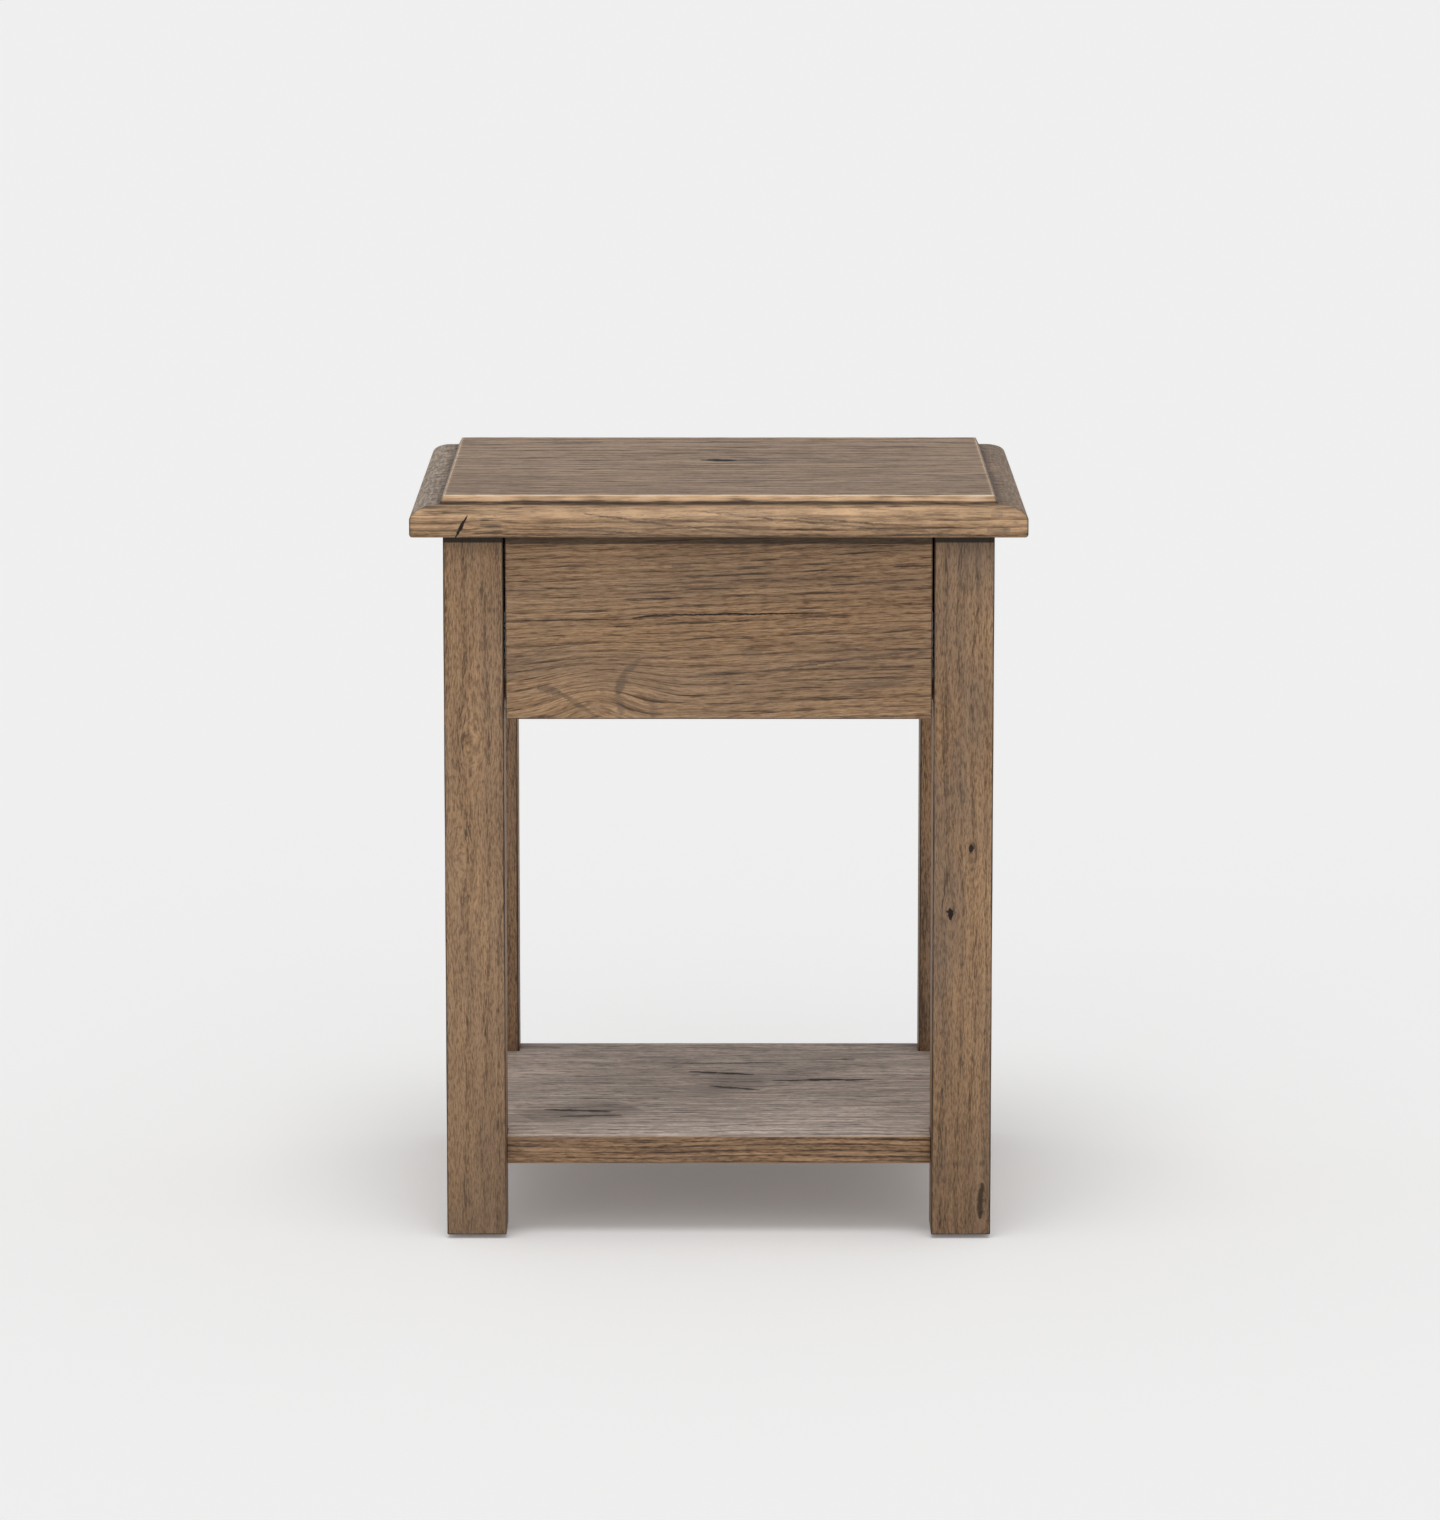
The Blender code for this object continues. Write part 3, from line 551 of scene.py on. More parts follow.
def topOutline(thickness):
    # Inset, height, wear with painted highlight, and painted shade, from the underside up the rounded edge
    # and the step to the field
    style = topStyle
    radius = style["bottomRound"]
    points = []
    for number, mouldingShadeShare in enumerate(style["undersideShade"]):
        angle = math.pi / 2 * number / 5
        points.append((radius * (1 - math.sin(angle)), radius * (1 - math.cos(angle)), 0.10, mouldingShadeShare))
    foot = style["fieldBorder"] - style["stepLean"]
    noseTop = thickness - style["stepHeight"]
    for number in range(25):
        angle = math.pi / 2 * number / 24
        inset = foot * (1 - math.cos(angle))
        fromFoot = (foot - inset) / style["hollowWidth"]
        dip = style["hollowDepth"] * math.exp(-((fromFoot - 0.9) ** 2) * 1.6)
        height = noseTop - style["noseHeight"] * (1 - math.sin(angle)) - dip
        # painted highlight: a paler band where the rounded nose turns to the light
        wearAndHighlight = 0.36 + 0.26 * math.exp(-(((angle - 0.66) / 0.36) ** 2)) - 0.25 * max(0.0, angle - 1.1)
        # painted shade in the hollow at the step's foot
        mouldingShadeShare = math.exp(-(fromFoot ** 2) * 0.55)
        points.append((inset, height, wearAndHighlight, mouldingShadeShare))
    ease = style["arrisEase"]
    rise = style["stepHeight"] - ease
    for share, wearAndHighlight, mouldingShadeShare in style["riser"]:
        points.append((foot + (style["stepLean"] - ease) * share, noseTop + rise * share, wearAndHighlight, mouldingShadeShare))
    for number in range(4):
        angle = math.pi / 2 * number / 3
        inset = style["fieldBorder"] - ease * math.cos(angle)
        points.append((inset, thickness - ease * (1 - math.sin(angle)), 1.9 if number else 1.2, 0.0))
    points.append((style["fieldBorder"] + 0.0012, thickness, 0.25, 0.0))
    points.append((style["fieldBorder"] + 0.0030, thickness, 0.0, 0.0))
    return points


def ringPoints(reachX, reachY, cutsX, cutsY):
    # Points round a rectangle, evenly spaced along each side
    points = []
    for number in range(cutsX):
        points.append(((2.0 * number / cutsX - 1.0) * reachX, -reachY))
    for number in range(cutsY):
        points.append((reachX, (2.0 * number / cutsY - 1.0) * reachY))
    return points + [(-x, -y) for x, y in points]


onFront = (1, -0.30, -0.238)  # axis and limits of the top's front edge


def frontStreaks():
    # Dark grain lines that run down to the right across the front moulding
    lines = [
        ((-0.1235, 0.6786), (-0.0240, 0.6655)), ((-0.0300, 0.6668), (0.0300, 0.6580)),
        ((-0.0240, 0.6808), (0.1260, 0.6668)), ((0.1200, 0.6672), (0.1920, 0.6612)),
        ((0.0700, 0.6750), (0.2020, 0.6650)), ((-0.1700, 0.6670), (-0.0600, 0.6600)),
        ((0.1300, 0.6590), (0.2300, 0.6600)), ((-0.0900, 0.6740), (0.0200, 0.6705)),
    ]
    return [mark("xz", start, end, 0.0013, 0.80, soft=0.0010, only=onFront) for start, end in lines]


def joinRings(shape, lower, upper):
    count = len(lower)
    for number in range(count):
        after = (number + 1) % count
        shape.faces.new((lower[number], lower[after], upper[after], upper[number]))


def makeTop():
    # The slab is built in rings up its moulded edge; each side is divided along its length
    low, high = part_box("top_slab")
    halfWide = (high.x - low.x) / 2
    halfDeep = (high.y - low.y) / 2
    shape = bmesh.new()
    wornAndLitLayer = shape.verts.layers.float.new("worn")
    mouldingShadeLayer = shape.verts.layers.float.new("sunk")
    rings = []
    for inset, height, wearAndHighlight, mouldingShadeShare in topOutline(high.z - low.z):
        ring = []
        for x, y in ringPoints(halfWide - inset, halfDeep - inset, topStyle["cutsX"], topStyle["cutsY"]):
            wave = math.sin(x * 71 + y * 53) * math.sin(x * 29 - y * 37 + 2)
            wave += 0.6 * math.sin(x * 190 + y * 160)
            drop = topStyle["unevenness"] * (0.5 + 0.5 * wave) if wearAndHighlight > 0.3 else 0.0
            corner = shape.verts.new((x, y, low.z + height - max(0.0, drop)))
            corner[wornAndLitLayer] = wearAndHighlight * (1.0 + 0.25 * wave)
            corner[mouldingShadeLayer] = mouldingShadeShare
            ring.append(corner)
        rings.append(ring)
    for lower, upper in zip(rings, rings[1:]):
        joinRings(shape, lower, upper)
    shape.faces.new(rings[-1])
    shape.faces.new(rings[0][::-1])
    bmesh.ops.recalc_face_normals(shape, faces=shape.faces)
    look = boardLook(
        None, grain="x", seed=2.0, tone=0.70, sway=0.020, pith=(0.35, -0.30), ringsPerMetre=185.0,
        broad=(9.0, 85.0, 270.0), fleck=(34.0, 250.0, 800.0), fine=(120.0, 300.0, 720.0),
        weights={"broad": 1.85, "ring": 0.55, "blotch": 0.50, "fine": 1.45, "pores": 0.86},
        # edgeColour and rimColour: worn wood with painted highlight on the riser, the nose and the field's
        # arris
        greyShare=0.30, edgeColour=(0.88, 0.575, 0.330), roughness=0.52,
        # painted sheen on the field's top face
        bleach=(2, high.z - 0.0012, high.z - 0.0002, (0.420, 0.290, 0.200), 0.82),
        # the left end's paler, greyer colour is painted sheen
        endGrain=((0.50, 0.425, 0.360), (0.27, 0.200, 0.155)), endShare=0.76, rimColour=(0.78, 0.66, 0.54),
        mitre=halfWide - halfDeep, edgeFrom=halfWide - topStyle["fieldBorder"],
        curveFrom=high.z - topStyle["stepHeight"] - topStyle["noseHeight"],
        knots=[(0.002, 0.037, 0.020, 0.016, 0.8, 0.75), (-0.207, -0.250, 0.016, 0.020, 0.9, 0.15)],
        strokes=frontStreaks() + [
            mark("xy", (-0.012, 0.042), (0.075, 0.034), 0.014, 0.45, soft=0.016),
            mark("xz", (0.246, 0.6778), (0.257, 0.6770), 0.0055, 0.55, soft=0.0030, only=onFront),
            mark("xz", (0.242, 0.6640), (0.264, 0.6630), 0.0070, 0.50, soft=0.0035, only=onFront),
            mark("xz", (-0.216, 0.6695), (-0.196, 0.6665), 0.0060, 0.40, soft=0.0035, only=onFront),
        ],
        cracks=[
            mark("xy", (-0.018, 0.0390), (0.018, 0.0360), 0.0150, 1.0, soft=0.0040, teeth=110.0),
            mark("xy", (0.012, 0.0370), (0.048, 0.0410), 0.0060, 0.75, soft=0.0030, teeth=90.0),
            mark("xy", (-0.200, 0.060), (0.010, 0.066), 0.0016, 0.5),
            mark("xz", (-0.2275, 0.6775), (-0.2385, 0.6560), 0.0030, 1.0,
                 wiggle=0.004, only=(1, -0.30, -0.245)),
        ],
    )
    mesh = meshFrom(shape, "top")
    flatFaces(addPiece("tableTop", mesh, oakMaterial("topOak", look), ["top_slab"]))


legStyle = {"easing": 0.0011, "steps": 4}

legWeights = {"broad": 0.60, "ring": 0.10, "blotch": 0.60, "fine": 1.55, "pores": 0.70}

legLooks = {
    "leg_front_left": {
        "seed": 11.0, "pith": (-0.30, 0.02), "tone": 0.72,
        "knots": [(0.466, -0.226, 0.034, 0.016, 0.85, 0.0), (0.354, -0.236, 0.030, 0.013, 0.8, 0.0)],
    },
    "leg_front_right": {
        "seed": 15.0, "pith": (0.14, -0.02), "greyShare": 0.45, "tone": 0.665,
        "knots": [(0.362, 0.231, 0.020, 0.008, 0.8, 0.15), (0.306, 0.212, 0.018, 0.008, 0.8, 0.15),
                  (0.034, 0.243, 0.024, 0.008, 0.8, 0.0)],
        "smudges": [(0.640, 0.232, 0.075, 0.060, 0.62)],
        "cracks": [
            mark("xz", (0.2315, 0.370), (0.2305, 0.362), 0.0042, 0.95),
            mark("xz", (0.2120, 0.311), (0.2135, 0.299), 0.0044, 1.0),
            mark("xz", (0.2085, 0.308), (0.2125, 0.306), 0.0022, 0.9),
            mark("xz", (0.2428, 0.053), (0.2410, 0.018), 0.0040, 0.85, soft=0.0022, wiggle=0.005),
        ],
    },
    "leg_back_left": {"seed": 19.0, "pith": (-0.12, 0.30)},
    "leg_back_right": {"seed": 23.0, "pith": (0.16, 0.34), "tone": 0.60},
}


def makeLegs():
    for node, changes in legLooks.items():
        low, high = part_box(node)
        mesh = easedBlock(node, low, high, legStyle["easing"], legStyle["steps"], (1, 1, 60))
        dressArrises(mesh, low, high, legStyle["easing"], 0.0004, changes["seed"])
        look = boardLook(
            node, grain="z", sway=0.008, shadeFrom=high.z if low.y < 0 else 0.0, shadeDepth=low.y + 0.0015,
            footShade=0.34, weights=legWeights,
            fleck=(80.0, 900.0, 900.0), fine=(170.0, 740.0, 740.0), edgeWidth=0.0019, edgeShare=0.88,
            edgeColour=(0.022, 0.013, 0.009), **changes
        )
        name = node.replace("_", " ").title().replace(" ", "")
        flatFaces(addPiece("wood" + name, mesh, oakMaterial(name + "Oak", look), [node]))


def drawerFrontLook():
    # Level grain that rises a little to the right, round a knot cut off by the lower edge
    streaks = [  # start and end as x and z, width, darkness
        ((-0.0711, 0.5417), (-0.0869, 0.5285), 0.0040, 0.60),
        ((-0.0860, 0.5295), (-0.0926, 0.5094), 0.0060, 0.70),
        ((-0.0926, 0.5110), (-0.0878, 0.4900), 0.0050, 0.60),
        ((-0.1660, 0.5160), (-0.1440, 0.5100), 0.0050, 0.65),
        ((-0.1470, 0.5115), (-0.1130, 0.4890), 0.0030, 0.60),
        ((-0.0610, 0.5040), (-0.0590, 0.4870), 0.0050, 0.50),
        ((-0.0720, 0.5415), (-0.0380, 0.5448), 0.0012, 0.80),
        ((-0.1960, 0.5268), (-0.1420, 0.5360), 0.0010, 0.80),
        ((0.0400, 0.5312), (0.1940, 0.5508), 0.0012, 0.85),
        ((-0.0300, 0.5245), (0.0260, 0.5285), 0.0018, 0.60),
        ((-0.1960, 0.5446), (-0.1200, 0.5552), 0.0010, 0.75),
        ((0.0200, 0.5462), (0.0400, 0.5462), 0.0050, 0.50),
        ((-0.0430, 0.6267), (-0.0250, 0.6272), 0.0040, 0.45),
        ((0.1150, 0.5165), (0.1680, 0.5190), 0.0040, 0.45),
    ]
    strokes = [
        mark("xz", start, end, width, dark, soft=max(0.0006, width * 0.7))
        for start, end, width, dark in streaks
    ]
    return boardLook(
        "drawer_front", grain="upright", seed=31.0, tone=0.71, slope=-0.040, sway=0.010, pith=(0.30, 0.10),
        ringsPerMetre=205.0, shadeFrom=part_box("drawer_front")[1].z, shade=0.78, shadeDepth=-0.2240,
        broad=(6.5, 235.0, 235.0), fleck=(27.0, 900.0, 900.0), fine=(85.0, 720.0, 720.0),
        weights={"broad": 0.85, "ring": 0.22, "blotch": 0.50, "fine": 1.60, "pores": 0.92},
        knots=[(-0.112, 0.476, 0.048, 0.044, 0.90, 0.0), (-0.070, 0.500, 0.020, 0.012, 0.6, 0.0)],
        strokes=strokes,
        cracks=[
            mark("xz", (-0.0800, 0.5782), (-0.0550, 0.5828), 0.0010, 0.9),
            mark("xz", (-0.0700, 0.5818), (0.1050, 0.5840), 0.0013, 1.0, wiggle=0.002),
            mark("xz", (-0.1960, 0.5770), (-0.0650, 0.5785), 0.0007, 0.8, wiggle=0.003),
        ],
    )


def cleanCopy(node, name, easing, shortest=0.012):
    # The CAD board with its flat faces joined up and its long edges eased
    shape = bmesh.new()
    shape.from_mesh(nodes[node].data)
    bmesh.ops.remove_doubles(shape, verts=shape.verts, dist=0.00002)
    bmesh.ops.dissolve_limit(shape, angle_limit=math.radians(1.0), verts=shape.verts, edges=shape.edges)
    sharp = [
        edge for edge in shape.edges
        if len(edge.link_faces) == 2 and edge.calc_face_angle(0.0) > math.radians(50)
        and edge.calc_length() > shortest
    ]
    bmesh.ops.bevel(
        shape, geom=sharp, offset=easing, segments=2, profile=0.5, affect="EDGES", clamp_overlap=True
    )
    return meshFrom(shape, name)


def makeBoard(node, name, look, easing):
    mesh = cleanCopy(node, name, easing)
    addPiece(name, mesh, oakMaterial(name + "Oak", look), [node], smooth=False)


def makeFrameBoards():
    for node, name, grain, seed in (
        ("apron_left", "apronLeft", "y", 41.0), ("apron_right", "apronRight", "y", 43.0),
        ("apron_back", "apronBack", "upright", 45.0), ("front_top_rail", "topRail", "x", 47.0),
        ("front_bottom_rail", "bottomRail", "x", 49.0),
    ):
        makeBoard(node, name, boardLook(node, grain=grain, seed=seed), 0.0008)


def makeShelf():
    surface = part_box("shelf")[1].z
    onTop = (2, surface - 0.001, 1.0)
    look = boardLook(
        "shelf", grain="x", seed=53.0, tone=0.56, greyShare=0.30, sway=0.012, pith=(-0.30, -0.25),
        broad=(8.0, 70.0, 310.0), fleck=(30.0, 210.0, 800.0), fine=(110.0, 270.0, 740.0),
        weights={"broad": 1.75, "ring": 0.36, "blotch": 0.50, "fine": 1.55, "pores": 0.78},
        edgeColour=(0.34, 0.22, 0.13), edgeWidth=0.0018, edgeShare=0.7,
        # painted sheen and painted light on the shelf's top face, which lies in the top's shade
        bleach=(2, surface - 0.0014, surface - 0.0004, (0.850, 0.710, 0.625), 0.93),
        knots=[(0.126, 0.132, 0.012, 0.010, 0.7, 0.7), (0.02, 0.040, 0.045, 0.050, 0.5, 0.0)],
        strokes=[
            mark("xy", (-0.180, -0.135), (-0.080, -0.080), 0.030, 0.62, soft=0.040, only=onTop),
            mark("xy", (-0.010, -0.030), (0.030, 0.070), 0.030, 0.45, soft=0.030, only=onTop),
        ],
        cracks=[
            mark("xy", (0.050, 0.034), (0.150, 0.038), 0.0085, 0.9, soft=0.0020, teeth=80.0),
            mark("xy", (-0.030, 0.075), (0.035, 0.060), 0.0080, 0.9, soft=0.0020, teeth=80.0),
            mark("xy", (-0.010, 0.010), (0.040, -0.010), 0.0080, 0.8, soft=0.0020, teeth=80.0),
            mark("xy", (-0.165, -0.095), (-0.100, -0.105), 0.0085, 0.8, soft=0.0025, teeth=70.0),
            mark("xy", (-0.150, -0.125), (-0.090, -0.120), 0.0075, 0.7, soft=0.0025, teeth=70.0),
            mark("xy", (-0.060, 0.110), (0.080, 0.118), 0.0050, 0.6),
        ],
    )
    makeBoard("shelf", "lowShelf", look, 0.0012)


boxStyle = {
    "easing": 0.0007,
    "weights": {"broad": 0.75, "ring": 0.18, "blotch": 0.40, "fine": 0.50, "pores": 0.40},
    "pore": (0.26, 0.16, 0.085),
}


def boxLook(node, **changes):
    # Pale, lacquered wood with little figure
    return boardLook(
        node, tones=boxTones, pore=boxStyle["pore"], weights=boxStyle["weights"], grey=(0.50, 0.38, 0.25),
        greyShare=0.20, ringsPerMetre=240.0, edgeColour=(0.66, 0.52, 0.35), edgeShare=0.4, edgeWidth=0.0010,
        roughness=0.42, gloss=0.42, relief=0.25, **changes
    )


def makeDrawer():
    makeBoard("drawer_front", "drawerFace", drawerFrontLook(), 0.0009)
    easing = boxStyle["easing"]
    for node, name, changes in (
        ("drawer_box_front", "boxFront", {"grain": "upright", "seed": 61.0}),
        ("drawer_back", "boxBack", {"grain": "upright", "seed": 63.0}),
        ("drawer_side_left", "boxSideLeft", {"grain": "yUpright", "seed": 65.0}),
        ("drawer_side_right", "boxSideRight", {"grain": "yUpright", "seed": 67.0}),
    ):
        makeBoard(node, name, boxLook(node, **changes), easing)
    look = boxLook("drawer_bottom", grain="x", seed=69.0, tone=0.78)
    makeBoard("drawer_bottom", "boxBottom", look, 0.0003)


def makeHiddenBoards():
    # Rails that carry the slides and cleats that hold the top
    for node, name, seed in (
        ("runner_rail_left", "runnerLeft", 71.0), ("runner_rail_right", "runnerRight", 73.0),
        ("top_cleat_left", "cleatLeft", 75.0), ("top_cleat_right", "cleatRight", 77.0),
    ):
        look = boardLook(
            node, grain="yUpright", seed=seed, tones=beechTones, pore=(0.24, 0.13, 0.07), greyShare=0.0,
            weights=boxStyle["weights"], edgeColour=(0.60, 0.43, 0.28), edgeShare=0.4, relief=0.25,
        )
        makeBoard(node, name, look, 0.0008)


metalStyle = {
    "zinc": (0.66, 0.67, 0.68),
    "tarnish": (0.60, 0.60, 0.58),
    "roughness": 0.30,
}


def steelMaterial(name, brushed, seed):
    # Zinc-plated steel: faint rolling lines, a cloudy plating and darker spots
    bench = NodeBench(name)
    x, y, z = bench.split(bench.place())
    lines = bench.noise(stretched(bench, x, y, z, brushed, seed), 4.0, 0.6)
    cloud = bench.noise(stretched(bench, x, y, z, (90.0, 70.0, 90.0), seed + 2.0), 4.0, 0.6)
    spots = bench.noise(stretched(bench, x, y, z, (700.0, 700.0, 700.0), seed + 5.0), 2.0, 0.5)
    colour = bench.mix(bench.step(cloud, 0.35, 0.70), metalStyle["zinc"], metalStyle["tarnish"])
    colour = bench.mix(bench.mul(bench.step(spots, 0.66, 0.74), 0.35), colour, (0.36, 0.34, 0.31))
    bench.shader.inputs["Metallic"].default_value = 1.0
    rough = bench.calc("MULTIPLY_ADD", lines, 0.22, metalStyle["roughness"] - 0.08)
    rough = bench.calc("MULTIPLY_ADD", cloud, 0.10, rough)
    return bench.polish(colour, rough, lines, 0.15, 0.0002)


slideStyle = {
    "sheet": 0.0012,
    "bend": 0.0011,
    "lip": 0.0014,
    "cageSheet": 0.0006,
    "cageBend": 0.0007,
    "cageGrip": 0.0003,  # how far a cage's edges reach into its balls
    "ballRadius": 0.0016,
    "ballsPerRow": 9,
}


def roundedLine(points, radius, pieces=4):
    # A bent line with its corners turned into arcs
    result = [Vector(points[0])]
    for before, corner, after in zip(points, points[1:], points[2:]):
        before, corner, after = Vector(before), Vector(corner), Vector(after)
        toStart = (before - corner).normalized() * radius
        toEnd = (after - corner).normalized() * radius
        centre = corner + toStart + toEnd
        for number in range(pieces + 1):
            angle = math.pi / 2 * number / pieces
            result.append(centre - toEnd * math.cos(angle) - toStart * math.sin(angle))
    result.append(Vector(points[-1]))
    return result


def stripOutline(line, thickness):
    # The closed outline of a strip that follows a line
    sides = []
    for number, point in enumerate(line):
        before = line[max(0, number - 1)]
        after = line[min(len(line) - 1, number + 1)]
        run = (after - before).normalized()
        across = Vector((-run.y, run.x)) * (thickness / 2)
        sides.append((point + across, point - across))
    return [left for left, right in sides] + [right for left, right in reversed(sides)]


def addStrip(shape, outline, startY, endY):
    # Draws the outline of a strip, in x and z, along Y and closes its ends
    rings = []
    for y in (startY, endY):
        rings.append([shape.verts.new((point.x, y, point.y)) for point in outline])
    joinRings(shape, *rings)
    for ring in rings:
        for number in range(len(ring) // 2 - 1):
            across = len(ring) - 1 - number
            shape.faces.new((ring[number], ring[number + 1], ring[across - 1], ring[across]))


def channelLine(low, high, openTo, sheet, lip):
    # The middle line of a C-shaped member that fills its box and opens towards openTo
    web = high.x - sheet / 2 if openTo < 0 else low.x + sheet / 2
    tip = low.x + sheet / 2 if openTo < 0 else high.x - sheet / 2
    top, bottom = high.z - sheet / 2, low.z + sheet / 2
    if not lip:
        tip += openTo * sheet / 2
        return [(tip, bottom), (web, bottom), (web, top), (tip, top)]
    return [(tip, bottom + lip), (tip, bottom), (web, bottom), (web, top), (tip, top), (tip, top - lip)]


def makeSlides():
    style = slideStyle
    steel = steelMaterial("zincSteel", (900.0, 6.0, 900.0), 3.0)
    cageSteel = steelMaterial("cageSteel", (500.0, 30.0, 500.0), 8.0)
    for side, sideName in ((-1, "left"), (1, "right")):
        members = (("outer", -side, style["lip"]), ("middle", -side, 0.0), ("inner", side, 0.0))
        for member, openTo, lip in members:
            node = "slide_" + member + "_" + sideName
            low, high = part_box(node)
            line = channelLine(low, high, openTo, style["sheet"], lip)
            shape = bmesh.new()
            addStrip(shape, stripOutline(roundedLine(line, style["bend"]), style["sheet"]), low.y, high.y)
            finishSheet(shape, node, steel)
        for member in ("outer", "inner"):
            makeBallCage("ball_cage_" + member + "_" + sideName, side, cageSteel)


def makeBallCage(node, side, material):
    # A thin C with a row of steel balls above and below
    low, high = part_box(node)
    style = slideStyle
    radius = style["ballRadius"]
    sheet = style["cageSheet"]
    toBalls = -side
    web = high.x if toBalls < 0 else low.x
    ballX = (low.x if toBalls < 0 else high.x) - toBalls * radius
    tip = ballX - toBalls * (radius - style["cageGrip"])
    webX = web + toBalls * sheet / 2
    rows = (low.z + radius, high.z - radius)
    line = [(tip, rows[0]), (webX, rows[0]), (webX, rows[1]), (tip, rows[1])]
    shape = bmesh.new()
    addStrip(shape, stripOutline(roundedLine(line, style["cageBend"]), sheet), low.y, high.y)
    span = high.y - low.y
    for z in rows:
        for number in range(style["ballsPerRow"]):
            y = low.y + span * (number + 0.5) / style["ballsPerRow"]
            spot = Matrix.Translation((ballX, y, z))
            bmesh.ops.create_uvsphere(shape, u_segments=16, v_segments=10, radius=radius, matrix=spot)
    finishSheet(shape, node, material)


def finishSheet(shape, node, material):
    bmesh.ops.recalc_face_normals(shape, faces=shape.faces)
    mesh = meshFrom(shape, node)
    addPiece(pieceName(node), mesh, material, [node])
    mesh.set_sharp_from_angle(angle=math.radians(40))


screwStyle = {
    "segments": 28,
    "recessDepth": 0.55,  # of the head's height
    "recessWidth": 0.26,  # of the head's radius
    "recessReach": 0.58,
    "threadPitch": 0.0011,
    "threadDepth": 0.0004,
    "plainNeck": 0.002,  # below the head, before the thread
    "slideSizes": {"head": 0.0038, "height": 0.0013, "shank": 0.0017},
    "woodSizes": {"head": 0.0045, "height": 0.0022, "shank": 0.0021},
}


def turned(outline, segments):
    # Spins an outline of radius and height pairs round Z
    shape = bmesh.new()
    rings = []
    for radius, height in outline:
        if radius == 0.0:
            rings.append([shape.verts.new((0, 0, height))])
            continue
        ring = []
        for number in range(segments):
            angle = 2 * math.pi * number / segments
            ring.append(shape.verts.new((radius * math.cos(angle), radius * math.sin(angle), height)))
        rings.append(ring)
    for upper, lower in zip(rings, rings[1:]):
        for number in range(segments):
            after = (number + 1) % segments
            corners = [upper[number % len(upper)], upper[after % len(upper)]]
            corners += [lower[after % len(lower)], lower[number % len(lower)]]
            unique = [corner for place, corner in enumerate(corners) if corner not in corners[:place]]
            shape.faces.new(unique)
    bmesh.ops.recalc_face_normals(shape, faces=shape.faces)
    return shape


def screwMesh(head, height, shank, length):
    # A pan head with a cross cut in it, a threaded shank and a point
    style = screwStyle
    outline = [(0.0, height), (0.35 * head, 0.97 * height), (0.62 * head, 0.86 * height)]
    for number in range(5):
        angle = math.pi / 2 * number / 4
        outline.append((head * (0.80 + 0.20 * math.sin(angle)), height * (0.30 + 0.42 * math.cos(angle))))
    outline += [(head, 0.0), (shank, 0.0)]
    threadEnd = length - 2.2 * shank
    turns = int((threadEnd - style["plainNeck"]) / style["threadPitch"])
    for number in range(turns):
        start = style["plainNeck"] + number * style["threadPitch"]
        outline.append((shank - style["threadDepth"], -start - 0.25 * style["threadPitch"]))
        outline.append((shank, -start - 0.62 * style["threadPitch"]))
    outline += [(shank - style["threadDepth"], -threadEnd), (0.0, -length)]
    screw = bpy.data.objects.new("screwBlank", meshFrom(turned(outline, style["segments"]), "screwBlank"))
    cross = bmesh.new()
    for turn in (0, 1):
        arm = bmesh.ops.create_cube(cross, size=1.0)["verts"]
        wide, narrow = 2 * style["recessReach"] * head, style["recessWidth"] * head
        size = (wide, narrow) if turn else (narrow, wide)
        bmesh.ops.scale(cross, vec=(*size, 2 * style["recessDepth"] * height), verts=arm)
        bmesh.ops.translate(cross, vec=(0, 0, height), verts=arm)
    tool = bpy.data.objects.new("crossTool", meshFrom(cross, "crossTool"))
    for thing in (screw, tool):
        bpy.context.scene.collection.objects.link(thing)
    cut = screw.modifiers.new("Cross", "BOOLEAN")
    cut.operation = "DIFFERENCE"
    cut.solver = "EXACT"
    cut.use_self = True
    cut.object = tool
    ready = screw.evaluated_get(bpy.context.evaluated_depsgraph_get())
    mesh = bpy.data.meshes.new_from_object(ready)
    for thing in (screw, tool):
        bpy.data.objects.remove(thing)
    return mesh


def makeScrews():
    steel = steelMaterial("screwSteel", (600.0, 600.0, 600.0), 5.0)
    slideSizes, woodSizes = screwStyle["slideSizes"], screwStyle["woodSizes"]
    screws = []
    for side, sideName in ((-1, "left"), (1, "right")):
        for end in ("front", "back"):
            screws.append(("top_screw_" + end + "_" + sideName, (0, 0, -1), woodSizes))
            screws.append(("outer_screw_" + end + "_" + sideName, (-side, 0, 0), slideSizes))
            screws.append(("inner_screw_" + end + "_" + sideName, (side, 0, 0), slideSizes))
        for level in ("low", "high"):
            screws.append(("front_screw_" + level + "_" + sideName, (0, 1, 0), woodSizes))
    blanks = {}
    for number, (node, toHead, sizes) in enumerate(screws):
        low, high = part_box(node)
        toHead = Vector(toHead)
        reach = abs((high - low).dot(toHead))
        length = round(reach - sizes["height"], 5)
        key = (sizes["head"], length)
        if key not in blanks:
            blanks[key] = screwMesh(sizes["head"], sizes["height"], sizes["shank"], length)
        mesh = blanks[key].copy()
        middle = (low + high) / 2
        seat = middle + toHead * (reach / 2 - sizes["height"])
        twist = Matrix.Rotation(number * 0.7, 3, "Z").to_quaternion()
        turn = Vector((0, 0, 1)).rotation_difference(toHead) @ twist
        mesh.transform(Matrix.Translation(seat) @ turn.to_matrix().to_4x4())
        addPiece(pieceName(node), mesh, steel, [node])
        mesh.set_sharp_from_angle(angle=math.radians(35))


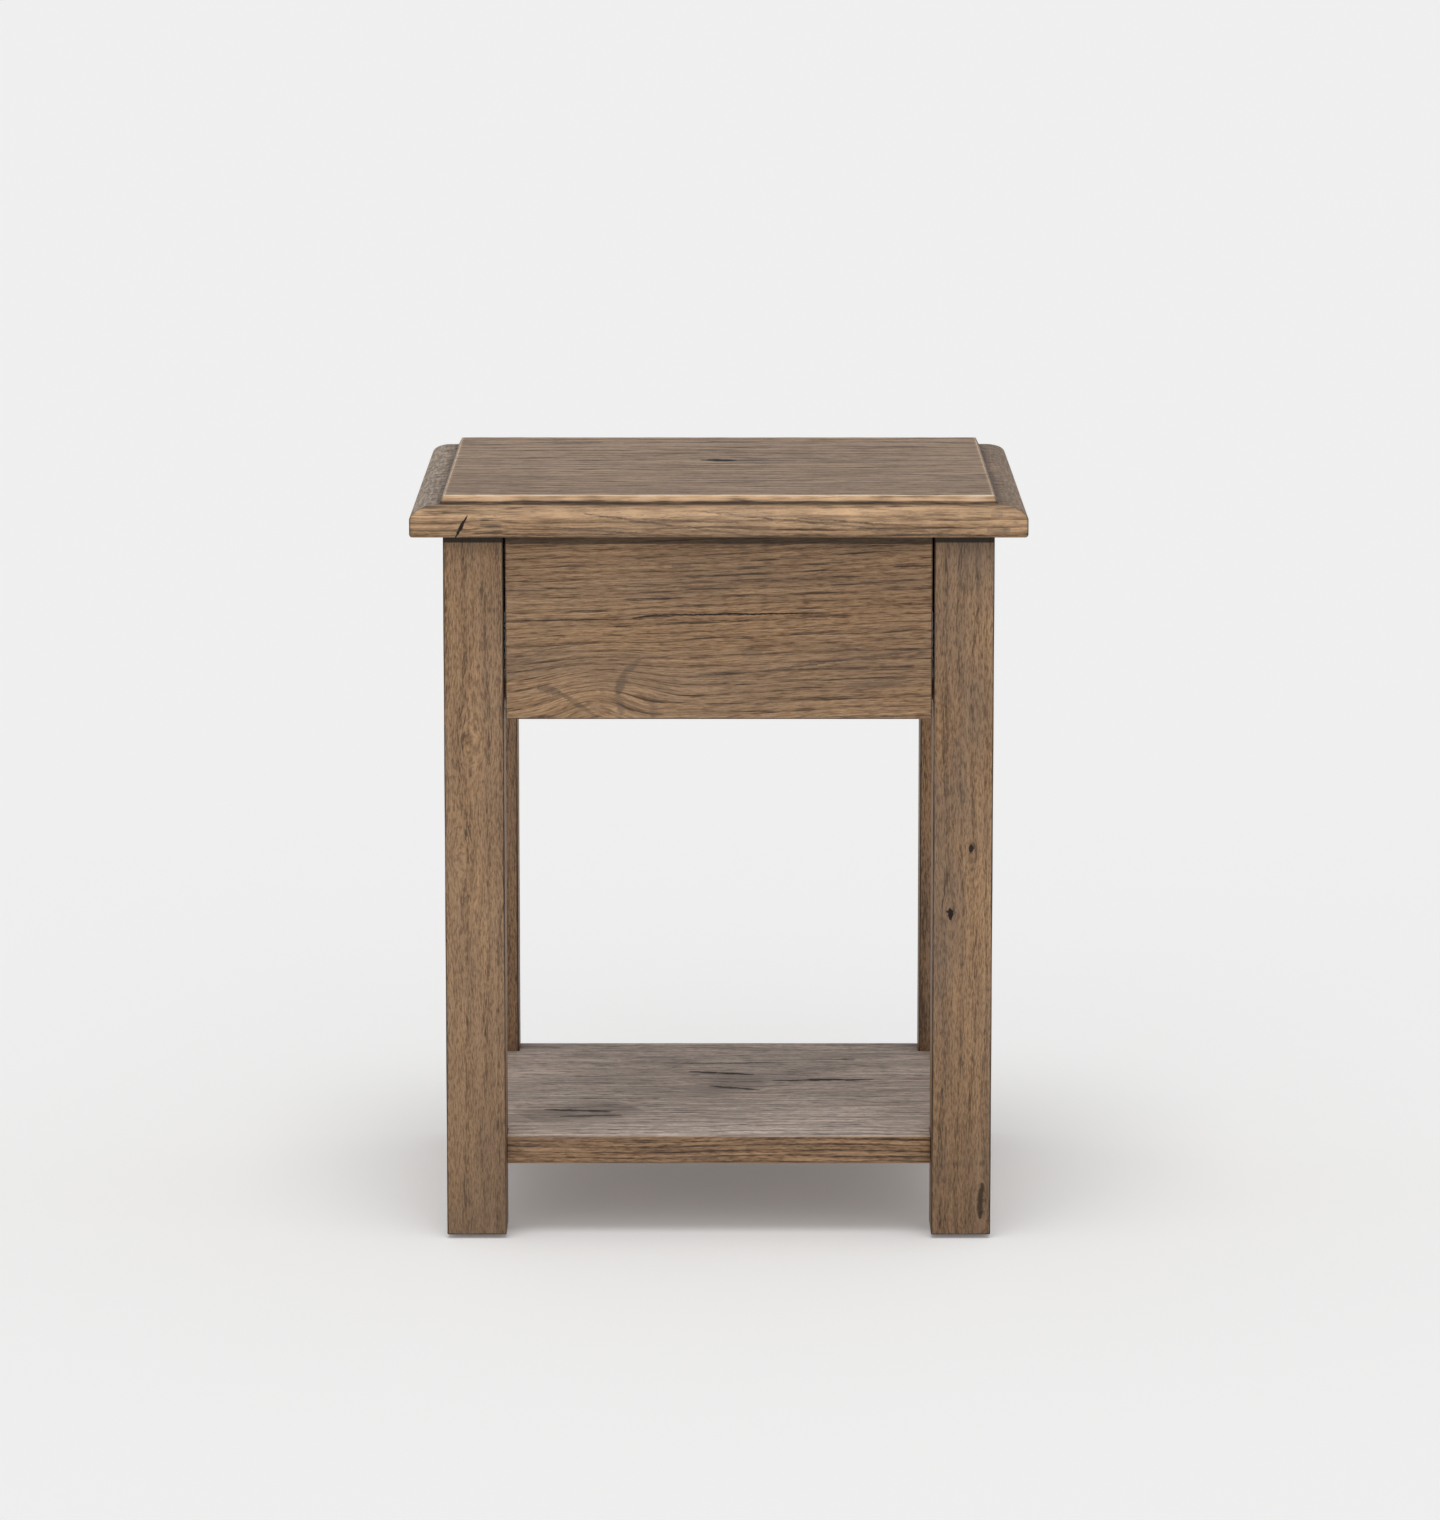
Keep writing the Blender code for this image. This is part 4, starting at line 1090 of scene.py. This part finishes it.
def plainMaterial(name, colour, roughness, fleck, scales):
    # A workshop finish with a little unevenness of tone and gloss
    bench = NodeBench(name)
    x, y, z = bench.split(bench.place())
    cloud = bench.noise(stretched(bench, x, y, z, scales, 1.0), 4.0, 0.6)
    dark = tuple(part * (1 - fleck) for part in colour)
    light = tuple(min(1.0, part * (1 + fleck)) for part in colour)
    bench.feed(bench.shader.inputs["Base Color"], bench.ramp(cloud, [(0.3, dark), (0.7, light)]))
    bench.feed(bench.shader.inputs["Roughness"], bench.calc("MULTIPLY_ADD", cloud, 0.2, roughness - 0.1))
    return bench.material


glideStyle = {"radius": 0.010, "height": 0.003, "edge": 0.0011, "pinRadius": 0.0015}


def makeGlides():
    # A turned plastic foot with a softened edge, on a pin that goes up into the leg
    style = glideStyle
    plastic = plainMaterial("blackPlastic", (0.020, 0.020, 0.021), 0.5, 0.3, (900.0, 900.0, 900.0))
    for end in ("front", "back"):
        for sideName in ("left", "right"):
            node = "glide_" + end + "_" + sideName
            low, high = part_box(node)
            outline = [
                (0.0, high.z), (style["pinRadius"] * 0.6, high.z - 0.0006),
                (style["pinRadius"], high.z - 0.002), (style["pinRadius"], style["height"]),
                (style["radius"] * 0.93, style["height"]),
                (style["radius"], style["height"] - 0.0004), (style["radius"], style["edge"]),
            ]
            for number in range(1, 5):
                angle = math.pi / 2 * number / 4
                out = style["radius"] - style["edge"] * (1 - math.cos(angle))
                outline.append((out, style["edge"] * (1 - math.sin(angle))))
            outline += [(style["radius"] * 0.5, 0.0), (0.0, 0.0002)]
            mesh = meshFrom(turned(outline, 40), node)
            mesh.transform(Matrix.Translation(((low.x + high.x) / 2, (low.y + high.y) / 2, 0)))
            addPiece(pieceName(node), mesh, plastic, [node])
            mesh.set_sharp_from_angle(angle=math.radians(40))


def finishDowels():
    # The shelf's dowels keep their plain shape
    look = boardLook(None, tones=beechTones, grain="x", seed=81.0, pore=(0.24, 0.13, 0.07), greyShare=0.0)
    look["box"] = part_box("shelf")
    material = oakMaterial("dowelBeech", look)
    for node in nodes:
        if node.startswith("shelf_dowel"):
            nodes[node].data.materials.clear()
            nodes[node].data.materials.append(material)


def makeStudio():
    scene = bpy.context.scene
    scene.view_settings.view_transform = "Standard"
    scene.view_settings.look = "None"
    camera = bpy.data.cameras.new("studioCamera")
    camera.lens = studio["lens"]
    camera.sensor_width = 36.0
    holder = bpy.data.objects.new("studioCamera", camera)
    holder.location = studio["cameraPlace"]
    holder.rotation_euler = (math.radians(90.0 - studio["tiltDown"]), 0.0, 0.0)
    camera.clip_end = 200.0
    scene.collection.objects.link(holder)
    scene.camera = holder

    bpy.ops.mesh.primitive_circle_add(vertices=96, radius=60.0, fill_type="NGON", location=(0, 0, -0.0002))
    floor = bpy.context.object
    floor.name = "studioFloor"
    paper = NodeBench("paper")
    paper.feed(paper.shader.inputs["Base Color"], studio["floorColour"])
    paper.shader.inputs["Roughness"].default_value = 0.9
    paper.shader.inputs["Specular IOR Level"].default_value = 0.0
    paper.shader.inputs["Emission Color"].default_value = (1.0, 1.0, 1.0, 1.0)
    paper.shader.inputs["Emission Strength"].default_value = studio["floorGlow"]
    floor.data.materials.append(paper.material)

    world = bpy.data.worlds.new("studioSky")
    scene.world = world
    world.use_nodes = True
    tree = world.node_tree
    sky = tree.nodes["Background"]
    sky.inputs["Color"].default_value = (1.0, 1.0, 1.0, 1.0)
    sky.inputs["Strength"].default_value = studio["skyStrength"]
    seen = tree.nodes.new("ShaderNodeBackground")
    seen.inputs["Color"].default_value = (0.863, 0.863, 0.863, 1.0)
    path = tree.nodes.new("ShaderNodeLightPath")
    blend = tree.nodes.new("ShaderNodeMixShader")
    tree.links.new(path.outputs["Is Camera Ray"], blend.inputs[0])
    tree.links.new(sky.outputs[0], blend.inputs[1])
    tree.links.new(seen.outputs[0], blend.inputs[2])
    tree.links.new(blend.outputs[0], tree.nodes["World Output"].inputs["Surface"])

    for name, (strength, height, turn, spread) in studio["lamps"].items():
        light = bpy.data.lights.new(name, "SUN")
        light.energy = strength
        light.angle = math.radians(spread)
        lamp = bpy.data.objects.new(name, light)
        lamp.rotation_euler = (math.radians(90.0 - height), 0.0, math.radians(turn))
        scene.collection.objects.link(lamp)


makeStudio()
print("studio ready")
makeTop()
makeLegs()
makeFrameBoards()
makeShelf()
print("oak pieces made")
makeDrawer()
makeHiddenBoards()
finishDowels()
print("drawer box and hidden boards made")
makeSlides()
makeScrews()
makeGlides()
print("slides, screws and glides made")
